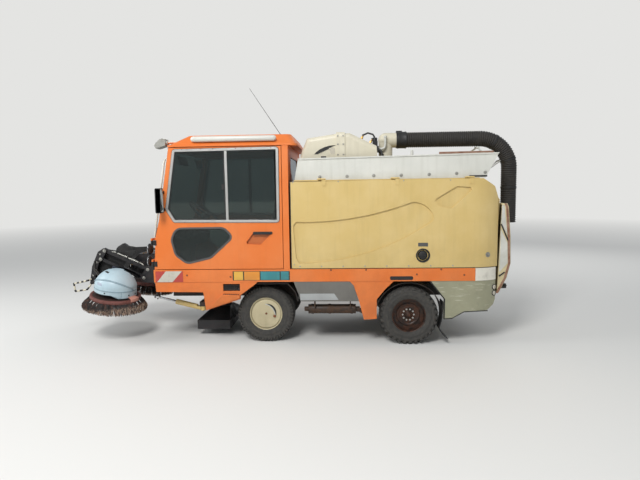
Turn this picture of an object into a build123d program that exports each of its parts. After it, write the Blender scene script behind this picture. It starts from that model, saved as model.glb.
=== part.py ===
from build123d import *
import math
import os

# Compact road sweeper with a two-seat cab, front side brushes and a rear-tipping hopper.
# Millimetres. X runs from the brushes (-X) to the tailgate (+X), the machine's left is -Y, Z is up.
# The origin is on the ground under the middle of the machine.

# Driving sizes of the whole machine
BODY_HALF = 650.0          # half width over the cab and the side panels
WALL = 30.0                # thickness of a moulded cab or body panel
FIT_GAP = 0.3              # clearance of a pin in its bore and of curved faces that meet
RUN_GAP = 6.0              # clearance between moving pieces
TOUCH_GAP = 1.0            # side clearance at a pivot

# Wheels and axles
TYRE_R = 285.0
TYRE_W = 165.0
BEAD_R = 165.0
FRONT_AXLE_X = -242.0
REAR_AXLE_X = 1176.0
FRONT_TYRE_FACE = 550.0    # outer side of the front tyres
REAR_TYRE_FACE = 640.0     # outer side of the rear tyres
AXLE_Z = TYRE_R
KINGPIN_Y = 360.0
KINGPIN_R = 16.0
SPINDLE_R = 22.0
STEER_ARM = 150.0          # steering arm, from the kingpin back to the tie rod pin

# Ladder frame
RAIL_IN = 140.0
RAIL_OUT = 200.0
RAIL_LOW = 400.0
RAIL_TOP = 520.0
RAIL_FRONT = -1300.0
RAIL_REAR = 1900.0
DUCT_R = 90.0             # suction duct, lying between the rails on a saddle
DUCT_Z = 520.0
SADDLE_X = -110.0

# Belt, the orange band round the machine
BELT_LOW = 632.0
BELT_TOP = 755.0
BELT_FRONT = -1333.0
BELT_REAR = 1805.0
BELT_T = 25.0
FLOOR_LOW = 622.0
FLOOR_TOP = 646.0

# Cab, side view of its front corner from the belt to the gutter
CAB_REAR = 20.0
NOSE_FOOT = (-1333.0, 756.0)
NOSE_TOP = (-1310.0, 1081.0)
SCREEN_KNEE = (-1265.0, 1253.0)
GUTTER_FRONT = (-1146.0, 1943.0)
EAVE_Z = 1951.0
ROOF_TOP = 2065.0
SCREEN_HALF = BODY_HALF - 44
DOOR_LOW = 762.0
DOOR_REAR = -45.0
DOOR_T = 38.0
DOOR_HINGE_X = -1336.0
DOOR_HINGE_Y = BODY_HALF + 7

# Hopper and its cladding
HOPPER_LOW = 763.0
HOPPER_TOP = 1617.0
HOPPER_FRONT = 290.0
HOPPER_HALF = 520.0
CLAD_FRONT = 36.0
CLAD_REAR = 2034.0
CORNER_START = 1785.0      # where the side panels start to turn in, seen from above
CORNER_R = 400.0
TIP_X = 2000.0             # hopper's tipping pin
TIP_Z = 480.0
TIP_PIN_R = 18.0
GATE_X = 2092.0            # tailgate hinge
GATE_Z = 1402.0
HOPPER_REAR = 2032.0       # foot of the hopper's open end
CLAD_HINGE_Y = BODY_HALF + 7
CLAD_HINGE_Z = HOPPER_TOP + 7

# Side brushes
SWING_X = -1480.0
SWING_Y = 240.0
LIFT_LINK = (-460.0, 205.0)        # from a rear pin to a front pin, X and Z
UPPER_PIN = (-1545.0, 700.0)       # rear pins of the two links, X and Z
LOWER_PIN = (-1591.0, 611.0)
LINK_PIN_R = 10.0
LINK_W = 30.0
BRUSH_X = -1842.0
BRUSH_Y = 410.0
BRUSH_Z = 450.0
BRUSH_LEAN = (0.14, 0.08)          # spindle's lean per unit of height: backward and outward
PLATE_R = 250.0
TIP_R = 325.0

SIDES = (("left", -1), ("right", 1))

os.makedirs("parts", exist_ok=True)


def save(builder, label, *members):
    """Label a finished piece, with the members welded to it, and write it to its own file."""
    piece = builder.part
    if members:
        piece = Compound([solid for made in (builder, *members) for solid in made.part.solids()])
    piece.label = label
    export_step(piece, f"parts/{label}.step")


def outline_xz(points, y):
    """Closed outline in X and Z on the plane at this Y."""
    with BuildSketch(Plane.XZ.offset(-y)) as face:
        with BuildLine():
            Polyline(*points, close=True)
        make_face()
    return face.sketch


def rounded_xz(points, radius, y, inset=0.0):
    """Closed outline in X and Z with rounded corners on the plane at this Y."""
    with BuildSketch(Plane.XZ.offset(-y)) as face:
        with BuildLine():
            FilletPolyline(*points, radius=radius, close=True)
        make_face()
        if inset:
            offset(amount=-inset)
    return face.sketch


def plate(points, y_one, y_two, mode=Mode.ADD):
    """Plate between two Y planes with an outline in X and Z."""
    extrude(outline_xz(points, y_one), amount=y_one - y_two, mode=mode)


def block(low, high, mode=Mode.ADD):
    """Rectangular block between two corners."""
    centre = [(a + b) / 2 for a, b in zip(low, high)]
    size = [abs(b - a) for a, b in zip(low, high)]
    with Locations(tuple(centre)):
        Box(*size, mode=mode)


def side_block(sign, x, y, z, mode=Mode.ADD):
    """Block given by ranges, with Y counted outward from the middle on one side."""
    block((x[0], sign * y[0], z[0]), (x[1], sign * y[1], z[1]), mode=mode)


def rod(start, end, radius, mode=Mode.ADD):
    """Round bar between two points."""
    line = Vector(*end) - Vector(*start)
    with BuildSketch(Plane(origin=start, z_dir=line)) as ring:
        Circle(radius)
    extrude(ring.sketch, amount=line.length, mode=mode)


def drum_y(x, z, y_one, y_two, radius, mode=Mode.ADD):
    """Round bar across the machine."""
    rod((x, y_one, z), (x, y_two, z), radius, mode=mode)


def corner_wall(sign, x_start, y_outer, thick, z_low, z_high, x_end=CLAD_REAR):
    """Side wall that turns in at the rear corner on a large radius, seen from above."""
    y_centre = y_outer - CORNER_R
    turn = math.asin((x_end - CORNER_START) / CORNER_R)

    def on_arc(radius, angle):
        return (CORNER_START + radius * math.sin(angle), sign * (y_centre + radius * math.cos(angle)))

    inner = CORNER_R - thick
    start = math.asin(max(x_start - CORNER_START, 0) / CORNER_R)
    middle = (start + turn) / 2
    with BuildSketch(Plane.XY.offset(z_low)) as strip:
        with BuildLine():
            ThreePointArc(on_arc(CORNER_R, start), on_arc(CORNER_R, middle), on_arc(CORNER_R, turn))
            Line(on_arc(CORNER_R, turn), on_arc(inner, turn))
            ThreePointArc(on_arc(inner, turn), on_arc(inner, middle), on_arc(inner, start))
            if x_start < CORNER_START:
                Polyline(on_arc(inner, 0), (x_start, sign * (y_outer - thick)), (x_start, sign * y_outer),
                         on_arc(CORNER_R, 0))
            else:
                Line(on_arc(inner, start), on_arc(CORNER_R, start))
        make_face()
    extrude(strip.sketch, amount=z_high - z_low)


def bowed_strip(x, z, bow, thick, half):
    """Section of the cab front at one height, bowed forward in the middle."""
    with BuildSketch(Plane.XY.offset(z)) as strip:
        with BuildLine():
            ThreePointArc((x, -half), (x - bow, 0), (x, half))
            Line((x, half), (x + thick, half))
            ThreePointArc((x + thick, half), (x + thick - bow, 0), (x + thick, -half))
            Line((x + thick, -half), (x, -half))
        make_face()
    return strip.sketch


# Ladder frame: rails, posts, body outriggers, sills, brackets and cross members
FRAME_POST = 60.0
OUTRIGGERS = (60.0, 860.0, 1640.0)
CROSS_MEMBERS = (-1250.0, 360.0, 1000.0)
SILL_IN = BODY_HALF - 60
SILL_OUT = BODY_HALF - BELT_T
CAB_MOUNTS_X = (-1100.0, -60.0)
EAR_IN = 150.0
EAR_OUT = 190.0
EAR_R = 30.0
CYL_PIN_X = 1550.0
CYL_PIN_Z = 410.0
CYL_PIN_R = 15.0
SWING_CYL = (-900.0, 470.0, 330.0)     # barrel pin of a swing cylinder, Y counted outward
SWING_EYE = (-1400.0, 400.0, 435.0)    # its rod eye at rest
SWING_PIN_R = 10.0
SWING_ARM_LOW = 352.0
NOZZLE_PIN = (-500.0, 370.0)
EYE_T = 20.0                           # towing eyes, front and rear
EYE_LUG_HALF = 40.0
TOW_BORE_R = 12.5
REAR_EYE = (1935.0, 420.0)
JACK_X = 600.0                         # jacking pads under the rails
JACK_Z = 370.0

with BuildPart() as chassis_frame:
    for _, sign in SIDES:
        side_block(sign, (RAIL_FRONT, RAIL_REAR), (RAIL_IN, RAIL_OUT), (RAIL_LOW, RAIL_TOP))

with BuildPart() as frame_posts:
    for _, sign in SIDES:
        side_block(sign, (RAIL_FRONT, RAIL_FRONT + 20), (RAIL_IN, RAIL_OUT), (RAIL_TOP, 596))
        for x in OUTRIGGERS:
            side_block(sign, (x, x + FRAME_POST), (RAIL_IN, RAIL_OUT), (RAIL_TOP, 640))
        for x in CAB_MOUNTS_X:
            rod((x, sign * 170, RAIL_TOP), (x, sign * 170, FLOOR_LOW), 30)

with BuildPart() as frame_outriggers:
    for _, sign in SIDES:
        for x in OUTRIGGERS:
            side_block(sign, (x, x + FRAME_POST), (RAIL_IN, SILL_IN), (640, 700))

with BuildPart() as frame_sills:
    for _, sign in SIDES:
        side_block(sign, (40, BELT_REAR), (SILL_IN, SILL_OUT), (640, 740))

with BuildPart() as frame_brackets:
    for _, sign in SIDES:
        # ears and pins that the hopper tips on
        side_block(sign, (RAIL_REAR, TIP_X), (EAR_IN, EAR_OUT), (TIP_Z - EAR_R, TIP_Z + EAR_R))
        drum_y(TIP_X, TIP_Z, sign * EAR_IN, sign * EAR_OUT, EAR_R)
        drum_y(TIP_X, TIP_Z, sign * 96, sign * EAR_OUT, TIP_PIN_R)
        # arm and pin that hold the swing cylinder's barrel
        arm_x = SWING_CYL[0]
        side_block(sign, (arm_x - 30, arm_x + 30), (RAIL_IN, SWING_CYL[1] + 26), (SWING_ARM_LOW, RAIL_LOW))
        pin_y = sign * SWING_CYL[1]
        rod((arm_x, pin_y, SWING_CYL[2] - 28), (arm_x, pin_y, SWING_ARM_LOW), SWING_PIN_R)
        # ears for the suction mouth's drag arms
        side_block(sign, (NOZZLE_PIN[0] - 25, NOZZLE_PIN[0] + 25), (RAIL_IN, 156), (345, RAIL_LOW))
        drum_y(NOZZLE_PIN[0], NOZZLE_PIN[1], sign * 108, sign * 156, 10)
        # pads for the workshop jack
        side_block(sign, (JACK_X - 30, JACK_X + 30), (RAIL_IN, RAIL_OUT), (JACK_Z, RAIL_LOW))

with BuildPart() as frame_crossing:
    for x in CROSS_MEMBERS:
        block((x, -RAIL_IN, RAIL_LOW), (x + 50, RAIL_IN, RAIL_LOW + 60))
    block((RAIL_REAR - 40, -RAIL_IN, RAIL_LOW), (RAIL_REAR, RAIL_IN, RAIL_LOW + 60))
    block((SADDLE_X, -RAIL_IN, RAIL_LOW), (SADDLE_X + 60, RAIL_IN, DUCT_Z - 40))
    saddle_line = ((SADDLE_X - 1, 0, DUCT_Z), (SADDLE_X + 61, 0, DUCT_Z))
    rod(*saddle_line, DUCT_R + FIT_GAP, mode=Mode.SUBTRACT)
    drum_y(CYL_PIN_X, CYL_PIN_Z, -RAIL_IN, RAIL_IN, CYL_PIN_R)
    # towing eye at the back
    block((RAIL_REAR, -EYE_LUG_HALF, REAR_EYE[1]), (REAR_EYE[0], EYE_LUG_HALF, REAR_EYE[1] + EYE_T))
    rod((REAR_EYE[0], 0, REAR_EYE[1]), (REAR_EYE[0], 0, REAR_EYE[1] + EYE_T), EYE_LUG_HALF)
    rod((REAR_EYE[0], 0, REAR_EYE[1]), (REAR_EYE[0], 0, REAR_EYE[1] + EYE_T), TOW_BORE_R, mode=Mode.SUBTRACT)
save(chassis_frame, "chassis_frame", frame_posts, frame_outriggers, frame_sills, frame_brackets, frame_crossing)

# Both axle beams: the front one ends in yokes for the kingpins, the rear one in hubs
YOKE_HALF_X = 35.0
YOKE_LOW = AXLE_Z - 80
YOKE_TOP = AXLE_Z + 80
YOKE_T = 20.0
YOKE_IN = KINGPIN_Y - 60       # inner side of the gap that the knuckle turns in
REAR_HUB_IN = REAR_TYRE_FACE - TYRE_W - 45

with BuildPart() as axles:
    for _, sign in SIDES:
        x_range = (FRONT_AXLE_X - YOKE_HALF_X, FRONT_AXLE_X + YOKE_HALF_X)
        side_block(sign, x_range, (0, YOKE_IN), (AXLE_Z - 35, AXLE_Z + 35))
        side_block(sign, x_range, (YOKE_IN - YOKE_T, YOKE_IN), (YOKE_LOW, YOKE_TOP))
        side_block(sign, x_range, (YOKE_IN, KINGPIN_Y + 30), (YOKE_LOW, YOKE_LOW + YOKE_T))
        side_block(sign, x_range, (YOKE_IN, KINGPIN_Y + 30), (YOKE_TOP - YOKE_T, YOKE_TOP))
        pin_at = (FRONT_AXLE_X, sign * KINGPIN_Y)
        rod((*pin_at, YOKE_LOW), (*pin_at, YOKE_TOP), KINGPIN_R + FIT_GAP, mode=Mode.SUBTRACT)
        side_block(sign, x_range, (RAIL_IN, RAIL_OUT), (AXLE_Z + 35, RAIL_LOW))
        side_block(sign, (REAR_AXLE_X - 40, REAR_AXLE_X + 40), (0, REAR_HUB_IN), (AXLE_Z - 40, AXLE_Z + 40))
        side_block(sign, (REAR_AXLE_X - 40, REAR_AXLE_X + 40), (RAIL_IN, RAIL_OUT), (AXLE_Z + 40, RAIL_LOW))
        drum_y(REAR_AXLE_X, AXLE_Z, sign * REAR_HUB_IN, sign * (REAR_HUB_IN + 30), 62)
        drum_y(REAR_AXLE_X, AXLE_Z, sign * REAR_HUB_IN, sign * (REAR_TYRE_FACE - 60), SPINDLE_R)
save(axles, "axles")

# Steering knuckles with kingpin, spindle and steering arm, and the tie rod behind the axle
ARM_PIN_R = 10.0
ARM_Z = AXLE_Z - 22

for side, sign in SIDES:
    with BuildPart() as knuckle:
        block_low = YOKE_LOW + YOKE_T + TOUCH_GAP
        block_top = YOKE_TOP - YOKE_T - TOUCH_GAP
        side_block(sign, (FRONT_AXLE_X - 28, FRONT_AXLE_X + 28), (KINGPIN_Y - 28, KINGPIN_Y + 34),
                   (block_low, block_top))
        pin_at = (FRONT_AXLE_X, sign * KINGPIN_Y)
        rod((*pin_at, YOKE_LOW - 6), (*pin_at, YOKE_TOP + 6), KINGPIN_R)
        drum_y(FRONT_AXLE_X, AXLE_Z, sign * (KINGPIN_Y + 34), sign * (FRONT_TYRE_FACE - 56), SPINDLE_R)
        arm_end = FRONT_AXLE_X + STEER_ARM
        side_block(sign, (FRONT_AXLE_X + 28, arm_end), (KINGPIN_Y - 14, KINGPIN_Y + 14), (ARM_Z - 10, ARM_Z + 10))
        rod((arm_end, sign * KINGPIN_Y, ARM_Z - 10), (arm_end, sign * KINGPIN_Y, ARM_Z + 10), 20)
        rod((arm_end, sign * KINGPIN_Y, ARM_Z - 36), (arm_end, sign * KINGPIN_Y, ARM_Z - 10), ARM_PIN_R)
    save(knuckle, f"knuckle_{side}")

with BuildPart() as tie_rod:
    rod_z = ARM_Z - 23
    rod_x = FRONT_AXLE_X + STEER_ARM
    drum_y(rod_x, rod_z, -KINGPIN_Y + 18, KINGPIN_Y - 18, 11)
    for _, sign in SIDES:
        rod((rod_x, sign * KINGPIN_Y, rod_z - 12), (rod_x, sign * KINGPIN_Y, rod_z + 12), 20)
    for _, sign in SIDES:
        rod((rod_x, sign * KINGPIN_Y, rod_z - 14), (rod_x, sign * KINGPIN_Y, rod_z + 14),
            ARM_PIN_R + FIT_GAP, mode=Mode.SUBTRACT)
save(tie_rod, "tie_rod")

# Wheels: axle, side, outer face of the tyre, depth of the disc behind that face
WHEELS = [(f"{end}_{side}", x, sign, face, depth)
          for end, x, face, depth in (("front", FRONT_AXLE_X, FRONT_TYRE_FACE, 34.0),
                                      ("rear", REAR_AXLE_X, REAR_TYRE_FACE, 70.0))
          for side, sign in SIDES]
SHOULDER_R = 22.0
RIM_T = 10.0
STUD_CIRCLE = 55.0
STUDS = 10

for label, x, sign, face, depth in WHEELS:
    axis = Axis((x, 0, AXLE_Z), (0, 1, 0))
    inner_face = face - TYRE_W
    with BuildPart() as tyre:
        with BuildSketch(Plane(origin=(x, 0, AXLE_Z), x_dir=(1, 0, 0), z_dir=(0, 0, sign))) as section:
            with BuildLine():
                Polyline((BEAD_R, inner_face + 12), (BEAD_R + 45, inner_face), (TYRE_R - SHOULDER_R, inner_face),
                         (TYRE_R, inner_face + SHOULDER_R), (TYRE_R, face - SHOULDER_R),
                         (TYRE_R - SHOULDER_R, face), (BEAD_R + 45, face), (BEAD_R, face - 12), close=True)
            make_face()
        revolve(axis=axis)
    save(tyre, f"tyre_{label}")
    disc_out = face - depth
    rim_r = BEAD_R - FIT_GAP
    with BuildPart() as rim:
        with BuildSketch(Plane(origin=(x, 0, AXLE_Z), x_dir=(1, 0, 0), z_dir=(0, 0, sign))) as section:
            with BuildLine():
                Polyline((SPINDLE_R + FIT_GAP, disc_out - 34), (60, disc_out - 34), (60, disc_out - RIM_T),
                         (rim_r - RIM_T, disc_out - RIM_T), (rim_r - RIM_T, inner_face + 14),
                         (rim_r, inner_face + 14), (rim_r, face - 14), (rim_r - RIM_T, face - 14),
                         (rim_r - RIM_T, disc_out), (SPINDLE_R + FIT_GAP, disc_out), close=True)
            make_face()
        revolve(axis=axis)
        with BuildSketch(Plane(origin=(x, sign * disc_out, AXLE_Z), x_dir=(1, 0, 0), z_dir=(0, sign, 0))):
            if label.startswith("rear"):
                with PolarLocations(STUD_CIRCLE, STUDS):
                    Circle(7)
            else:
                Circle(145)
        extrude(amount=12)
    save(rim, f"rim_{label}")

# Engine, one block on the rails behind the cab
with BuildPart() as engine_block:
    block((330, -250, RAIL_TOP), (820, 250, HOPPER_LOW - 12))
    chamfer(engine_block.edges().filter_by(Axis.X), length=30)
save(engine_block, "engine_block")

# Suction duct from the mouth under the cab, back between the rails and up behind the cab
DUCT_WALL = 5.0
DUCT_RISE_X = 165.0
DUCT_IN_X = -800.0
DUCT_IN_Z = 330.0
DUCT_OUT_Z = 1190.0
DUCT_BEND = 120.0
DUCT_STOP = HOPPER_FRONT - RUN_GAP

with BuildPart() as suction_duct:
    with BuildLine(Plane.XZ) as duct_path:
        FilletPolyline((DUCT_IN_X, DUCT_IN_Z), (DUCT_IN_X, DUCT_Z), (DUCT_RISE_X, DUCT_Z),
                       (DUCT_RISE_X, DUCT_OUT_Z), (DUCT_STOP, DUCT_OUT_Z), radius=(DUCT_BEND, DUCT_BEND, 115))
    with BuildSketch(Plane(origin=(DUCT_IN_X, 0, DUCT_IN_Z), z_dir=(0, 0, 1))) as duct_ring:
        Circle(DUCT_R)
        Circle(DUCT_R - DUCT_WALL, mode=Mode.SUBTRACT)
    sweep(sections=duct_ring.sketch, path=duct_path.line)
save(suction_duct, "suction_duct")

# Suction mouth on drag arms, open below, with the neck that meets the duct
MOUTH_X = (-1010.0, -660.0)
MOUTH_HALF = 330.0
MOUTH_LOW = 70.0
MOUTH_TOP = 165.0
NECK_TOP = DUCT_IN_Z - RUN_GAP
SHEET = 8.0

with BuildPart() as nozzle:
    mid = (MOUTH_X[0] + MOUTH_X[1]) / 2
    length = MOUTH_X[1] - MOUTH_X[0]
    with BuildSketch(Plane.XY.offset(MOUTH_TOP)):
        with Locations((mid, 0)):
            Rectangle(length, 2 * MOUTH_HALF)
    with BuildSketch(Plane.XY.offset(NECK_TOP - 60)):
        with Locations((DUCT_IN_X, 0)):
            Rectangle(2 * DUCT_R, 2 * DUCT_R)
    loft(ruled=True)
    rod((DUCT_IN_X, 0, NECK_TOP - 60), (DUCT_IN_X, 0, NECK_TOP), DUCT_R)
    with BuildSketch(Plane.XY.offset(MOUTH_TOP)) as wide:
        with Locations((mid, 0)):
            Rectangle(length - 2 * SHEET, 2 * (MOUTH_HALF - SHEET))
    with BuildSketch(Plane.XY.offset(NECK_TOP - 60)) as narrow:
        with Locations((DUCT_IN_X, 0)):
            Rectangle(2 * DUCT_R - 4 * SHEET, 2 * DUCT_R - 4 * SHEET)
    loft(sections=[wide.sketch, narrow.sketch], ruled=True, mode=Mode.SUBTRACT)
    rod((DUCT_IN_X, 0, NECK_TOP - 61), (DUCT_IN_X, 0, NECK_TOP + 1), DUCT_R - 2 * SHEET, mode=Mode.SUBTRACT)

with BuildPart() as mouth_walls:
    for x in (MOUTH_X[0], MOUTH_X[1] - SHEET):
        block((x, -MOUTH_HALF, MOUTH_LOW), (x + SHEET, MOUTH_HALF, MOUTH_TOP))
    for _, sign in SIDES:
        arm = [(MOUTH_X[1] - SHEET, 120), (MOUTH_X[1] - SHEET, 148), (NOZZLE_PIN[0] - 14, NOZZLE_PIN[1] + 14),
               (NOZZLE_PIN[0] + 14, NOZZLE_PIN[1] - 14)]
        plate(arm, sign * 110, sign * 132)
        drum_y(*NOZZLE_PIN, sign * 110, sign * 132, 20)
    for _, sign in SIDES:
        drum_y(*NOZZLE_PIN, sign * 107, sign * 135, 10 + FIT_GAP, mode=Mode.SUBTRACT)

with BuildPart() as mouth_ends:
    for _, sign in SIDES:
        side_block(sign, (MOUTH_X[0] + SHEET, MOUTH_X[1] - SHEET), (MOUTH_HALF - SHEET, MOUTH_HALF),
                   (MOUTH_LOW, MOUTH_TOP))
save(nozzle, "nozzle", mouth_walls, mouth_ends)

# Cab floor with the seat plinths
SEATS_Y = (-270.0, 270.0)
SEAT_FRONT = -560.0
SEAT_REAR = -90.0
PLINTH_TOP = 960.0
PLINTH_HALF = 190.0

with BuildPart() as cab_floor:
    block((BELT_FRONT + BELT_T, -SILL_OUT, FLOOR_LOW), (CAB_REAR, SILL_OUT, FLOOR_TOP))
    for y in SEATS_Y:
        block((SEAT_FRONT + 40, y - PLINTH_HALF, FLOOR_TOP), (SEAT_REAR, y + PLINTH_HALF, PLINTH_TOP))
    fillet(cab_floor.edges().filter_by(Axis.Z).group_by(Axis.X)[1], radius=30)
save(cab_floor, "cab_floor")

# Seats: a cushion and a backrest for each place
CUSHION_T = 120.0
CUSHION_HALF = 230.0
BACK_HALF = 215.0
BACK_TOP = 1560.0

with BuildPart() as seat_cushions:
    cushion_low = PLINTH_TOP + FIT_GAP
    for y in SEATS_Y:
        with Locations(((SEAT_FRONT + SEAT_REAR) / 2, y, cushion_low + CUSHION_T / 2)):
            Box(SEAT_REAR - SEAT_FRONT, 2 * CUSHION_HALF, CUSHION_T)
    fillet(seat_cushions.edges().filter_by(Axis.Z), radius=50)
    back_low = cushion_low + CUSHION_T + FIT_GAP
    for y in SEATS_Y:
        back = [(SEAT_REAR - 120, back_low), (SEAT_REAR - 10, back_low), (SEAT_REAR + 70, BACK_TOP),
                (SEAT_REAR - 20, BACK_TOP)]
        plate(back, y - BACK_HALF, y + BACK_HALF)
save(seat_cushions, "seat_cushions")

# Rear wall of the cab with its window
POST_IN = BODY_HALF - 90            # inner side of the cab's side frames
PANE_W = 800.0             # rear window
PANE_H = 550.0
PANE_Z = 1575.0
PANE_R = 60.0


def rear_window(x, inset=0.0):
    """Rear window opening on an X plane."""
    with BuildSketch(Plane.YZ.offset(x)) as face:
        with Locations((0, PANE_Z)):
            RectangleRounded(PANE_W - 2 * inset, PANE_H - 2 * inset, PANE_R - inset)
    return face.sketch


with BuildPart() as cab_rear_wall:
    block((CAB_REAR - WALL, -POST_IN, FLOOR_TOP), (CAB_REAR, POST_IN, EAVE_Z))
    extrude(rear_window(CAB_REAR), amount=-WALL, mode=Mode.SUBTRACT)
save(cab_rear_wall, "cab_rear_wall")

# Side frames round the door openings, tied by a header over the windscreen
PILLAR = 46.0
GLASS_T = 8.0
FRAME_OUT = BODY_HALF - DOOR_T - RUN_GAP
HEADER_H = 40.0


def front_line(low_shift, high_shift):
    """The cab's front corner in side view: behind the nose by one distance, behind the glass by another."""
    low = [(x + low_shift, z) for x, z in (NOSE_FOOT, (NOSE_TOP[0], NOSE_TOP[1] + FIT_GAP))]
    high = [(x + high_shift, z) for x, z in ((NOSE_TOP[0], NOSE_TOP[1] + FIT_GAP), SCREEN_KNEE, GUTTER_FRONT)]
    return low + high


with BuildPart() as cab_frame:
    for _, sign in SIDES:
        outer = front_line(WALL + TOUCH_GAP, GLASS_T + TOUCH_GAP)
        outer = [(outer[0][0], FLOOR_TOP)] + outer + [(outer[-1][0], EAVE_Z), (CAB_REAR, EAVE_Z),
                                                      (CAB_REAR, FLOOR_TOP)]
        plate(outer, sign * POST_IN, sign * FRAME_OUT)
        inner = front_line(WALL + PILLAR, GLASS_T + PILLAR)
        inner[0] = (inner[0][0], DOOR_LOW + WALL)
        inner[-1] = (inner[-1][0], EAVE_Z - PILLAR)
        inner += [(DOOR_REAR - WALL, EAVE_Z - PILLAR), (DOOR_REAR - WALL, DOOR_LOW + WALL)]
        plate(inner, sign * POST_IN, sign * FRAME_OUT, mode=Mode.SUBTRACT)
        side_block(sign, (DOOR_REAR + RUN_GAP, CAB_REAR), (POST_IN, BODY_HALF), (BELT_TOP + 1, EAVE_Z))
    header_front = GUTTER_FRONT[0] + GLASS_T + TOUCH_GAP
    block((header_front, -POST_IN, EAVE_Z - HEADER_H), (header_front + HEADER_H, POST_IN, EAVE_Z))
save(cab_frame, "cab_frame")

# Roof cap with a gutter lip, bowed in front and falling away on all sides
ROOF_FRONT = -1150.0
ROOF_REAR = 108.0
ROOF_HALF = BODY_HALF + 5
ROOF_BOW = 42.0
ROOF_FLAT_X = (-969.0, 42.0)
ROOF_FLAT_HALF = ROOF_HALF - 115
LIP = 18.0
RAIL_TUBE = (ROOF_HALF - 20, 2022.0)        # grab tube beside the roof, Y counted outward and Z
RAIL_TUBE_R = 27.0
RAIL_TUBE_X = (-915.0, -90.0)
LAMP_ARM_Z = 2005.0
LAMP_KINGPIN_Y = 500.0
LAMP_ARM_FRONT = -1190.0


def roof_ring(x_range, half, z, inset=0.0):
    """Roof outline seen from above at one height."""
    front, rear, side = x_range[0] + inset, x_range[1] - inset, half - inset
    with BuildSketch(Plane.XY.offset(z)) as ring:
        with BuildLine():
            Polyline((front, -side), (rear, -side), (rear, side), (front, side))
            ThreePointArc((front, side), (front - ROOF_BOW, 0), (front, -side))
        make_face()
        fillet(ring.vertices(), radius=60)
    return ring.sketch


with BuildPart() as cab_roof:
    extrude(roof_ring((ROOF_FRONT, ROOF_REAR), ROOF_HALF, EAVE_Z), amount=LIP)
    base = roof_ring((ROOF_FRONT, ROOF_REAR), ROOF_HALF, EAVE_Z + LIP, inset=10)
    loft(sections=[base, roof_ring(ROOF_FLAT_X, ROOF_FLAT_HALF, ROOF_TOP)], ruled=True)
    lining = roof_ring((ROOF_FRONT + 90, CAB_REAR - WALL), POST_IN - 10, EAVE_Z)
    lining_top = roof_ring((ROOF_FLAT_X[0] + 10, CAB_REAR - WALL - 20), ROOF_FLAT_HALF - 40, ROOF_TOP - WALL)
    loft(sections=[lining, lining_top], ruled=True, mode=Mode.SUBTRACT)
    slope = Vector(0, ROOF_TOP - EAVE_Z - LIP, ROOF_HALF - 10 - ROOF_FLAT_HALF).normalized()
    for _, sign in SIDES:
        rod((LAMP_ARM_FRONT, sign * LAMP_KINGPIN_Y, LAMP_ARM_Z), (-1070, sign * LAMP_KINGPIN_Y, LAMP_ARM_Z), 12)
        for x in (-840, -165):
            centre = Vector(x, sign * RAIL_TUBE[0], RAIL_TUBE[1])
            inward = Vector(0, -sign * slope.Y, -slope.Z)
            near, deep = centre + inward * (RAIL_TUBE_R + 2 * FIT_GAP), centre + inward * (RAIL_TUBE_R + 20)
            rod((deep.X, deep.Y, deep.Z), (near.X, near.Y, near.Z), 8)
save(cab_roof, "cab_roof")

# Nose under the windscreen, bowed forward, with the fixed halves of the door hinges
NOSE_BOW = 34.0
SCREEN_BOW = 58.0
HINGE_R = 9.0
DOOR_HINGES = ((790.0, 840.0), (1000.0, 1050.0))
HINGE_BRACKET = 20.0


def nose_front(y, z):
    """X of the nose's front surface at a place on it."""
    share = (z - NOSE_FOOT[1]) / (NOSE_TOP[1] - NOSE_FOOT[1])
    bow = NOSE_BOW + (SCREEN_BOW - NOSE_BOW) * share
    radius = (SCREEN_HALF ** 2 + bow ** 2) / (2 * bow)
    return NOSE_FOOT[0] + (NOSE_TOP[0] - NOSE_FOOT[0]) * share - math.sqrt(radius ** 2 - y ** 2) + radius - bow


with BuildPart() as cab_nose:
    foot = bowed_strip(NOSE_FOOT[0], BELT_TOP, NOSE_BOW, WALL, SCREEN_HALF)
    top = bowed_strip(NOSE_TOP[0], NOSE_TOP[1], SCREEN_BOW, WALL, SCREEN_HALF)
    loft(sections=[foot, top], ruled=True)
    for _, sign in SIDES:
        for _, door_top in DOOR_HINGES:
            z_range = (door_top + FIT_GAP, door_top + HINGE_BRACKET)
            side_block(sign, (DOOR_HINGE_X - 7, DOOR_HINGE_X + 26), (SCREEN_HALF - 8, SCREEN_HALF), z_range)
            side_block(sign, (DOOR_HINGE_X - 7, DOOR_HINGE_X + HINGE_R), (SCREEN_HALF - 8, DOOR_HINGE_Y), z_range)
            pin_at = (DOOR_HINGE_X, sign * DOOR_HINGE_Y)
            rod((*pin_at, z_range[0]), (*pin_at, z_range[1]), HINGE_R)
save(cab_nose, "cab_nose")

# Windscreen in two bowed planes, and the pane in the rear wall
with BuildPart() as cab_glass:
    low = bowed_strip(NOSE_TOP[0], NOSE_TOP[1] + FIT_GAP, SCREEN_BOW, GLASS_T, SCREEN_HALF)
    knee = bowed_strip(SCREEN_KNEE[0], SCREEN_KNEE[1], SCREEN_BOW, GLASS_T, SCREEN_HALF)
    high = bowed_strip(GUTTER_FRONT[0], EAVE_Z - TOUCH_GAP, SCREEN_BOW - 20, GLASS_T, SCREEN_HALF)
    loft(sections=[low, knee], ruled=True)
    loft(sections=[knee, high], ruled=True)
    extrude(rear_window(CAB_REAR - 10, FIT_GAP), amount=-GLASS_T)
save(cab_glass, "cab_glass")

# Dashboard on its pedestal, with the steering column and wheel
WHEEL_AT = (-900.0, SEATS_Y[0], 1270.0)
COLUMN_FOOT = (-1110.0, SEATS_Y[0], 1010.0)
WHEEL_R = 195.0
GRIP_R = 13.0

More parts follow.
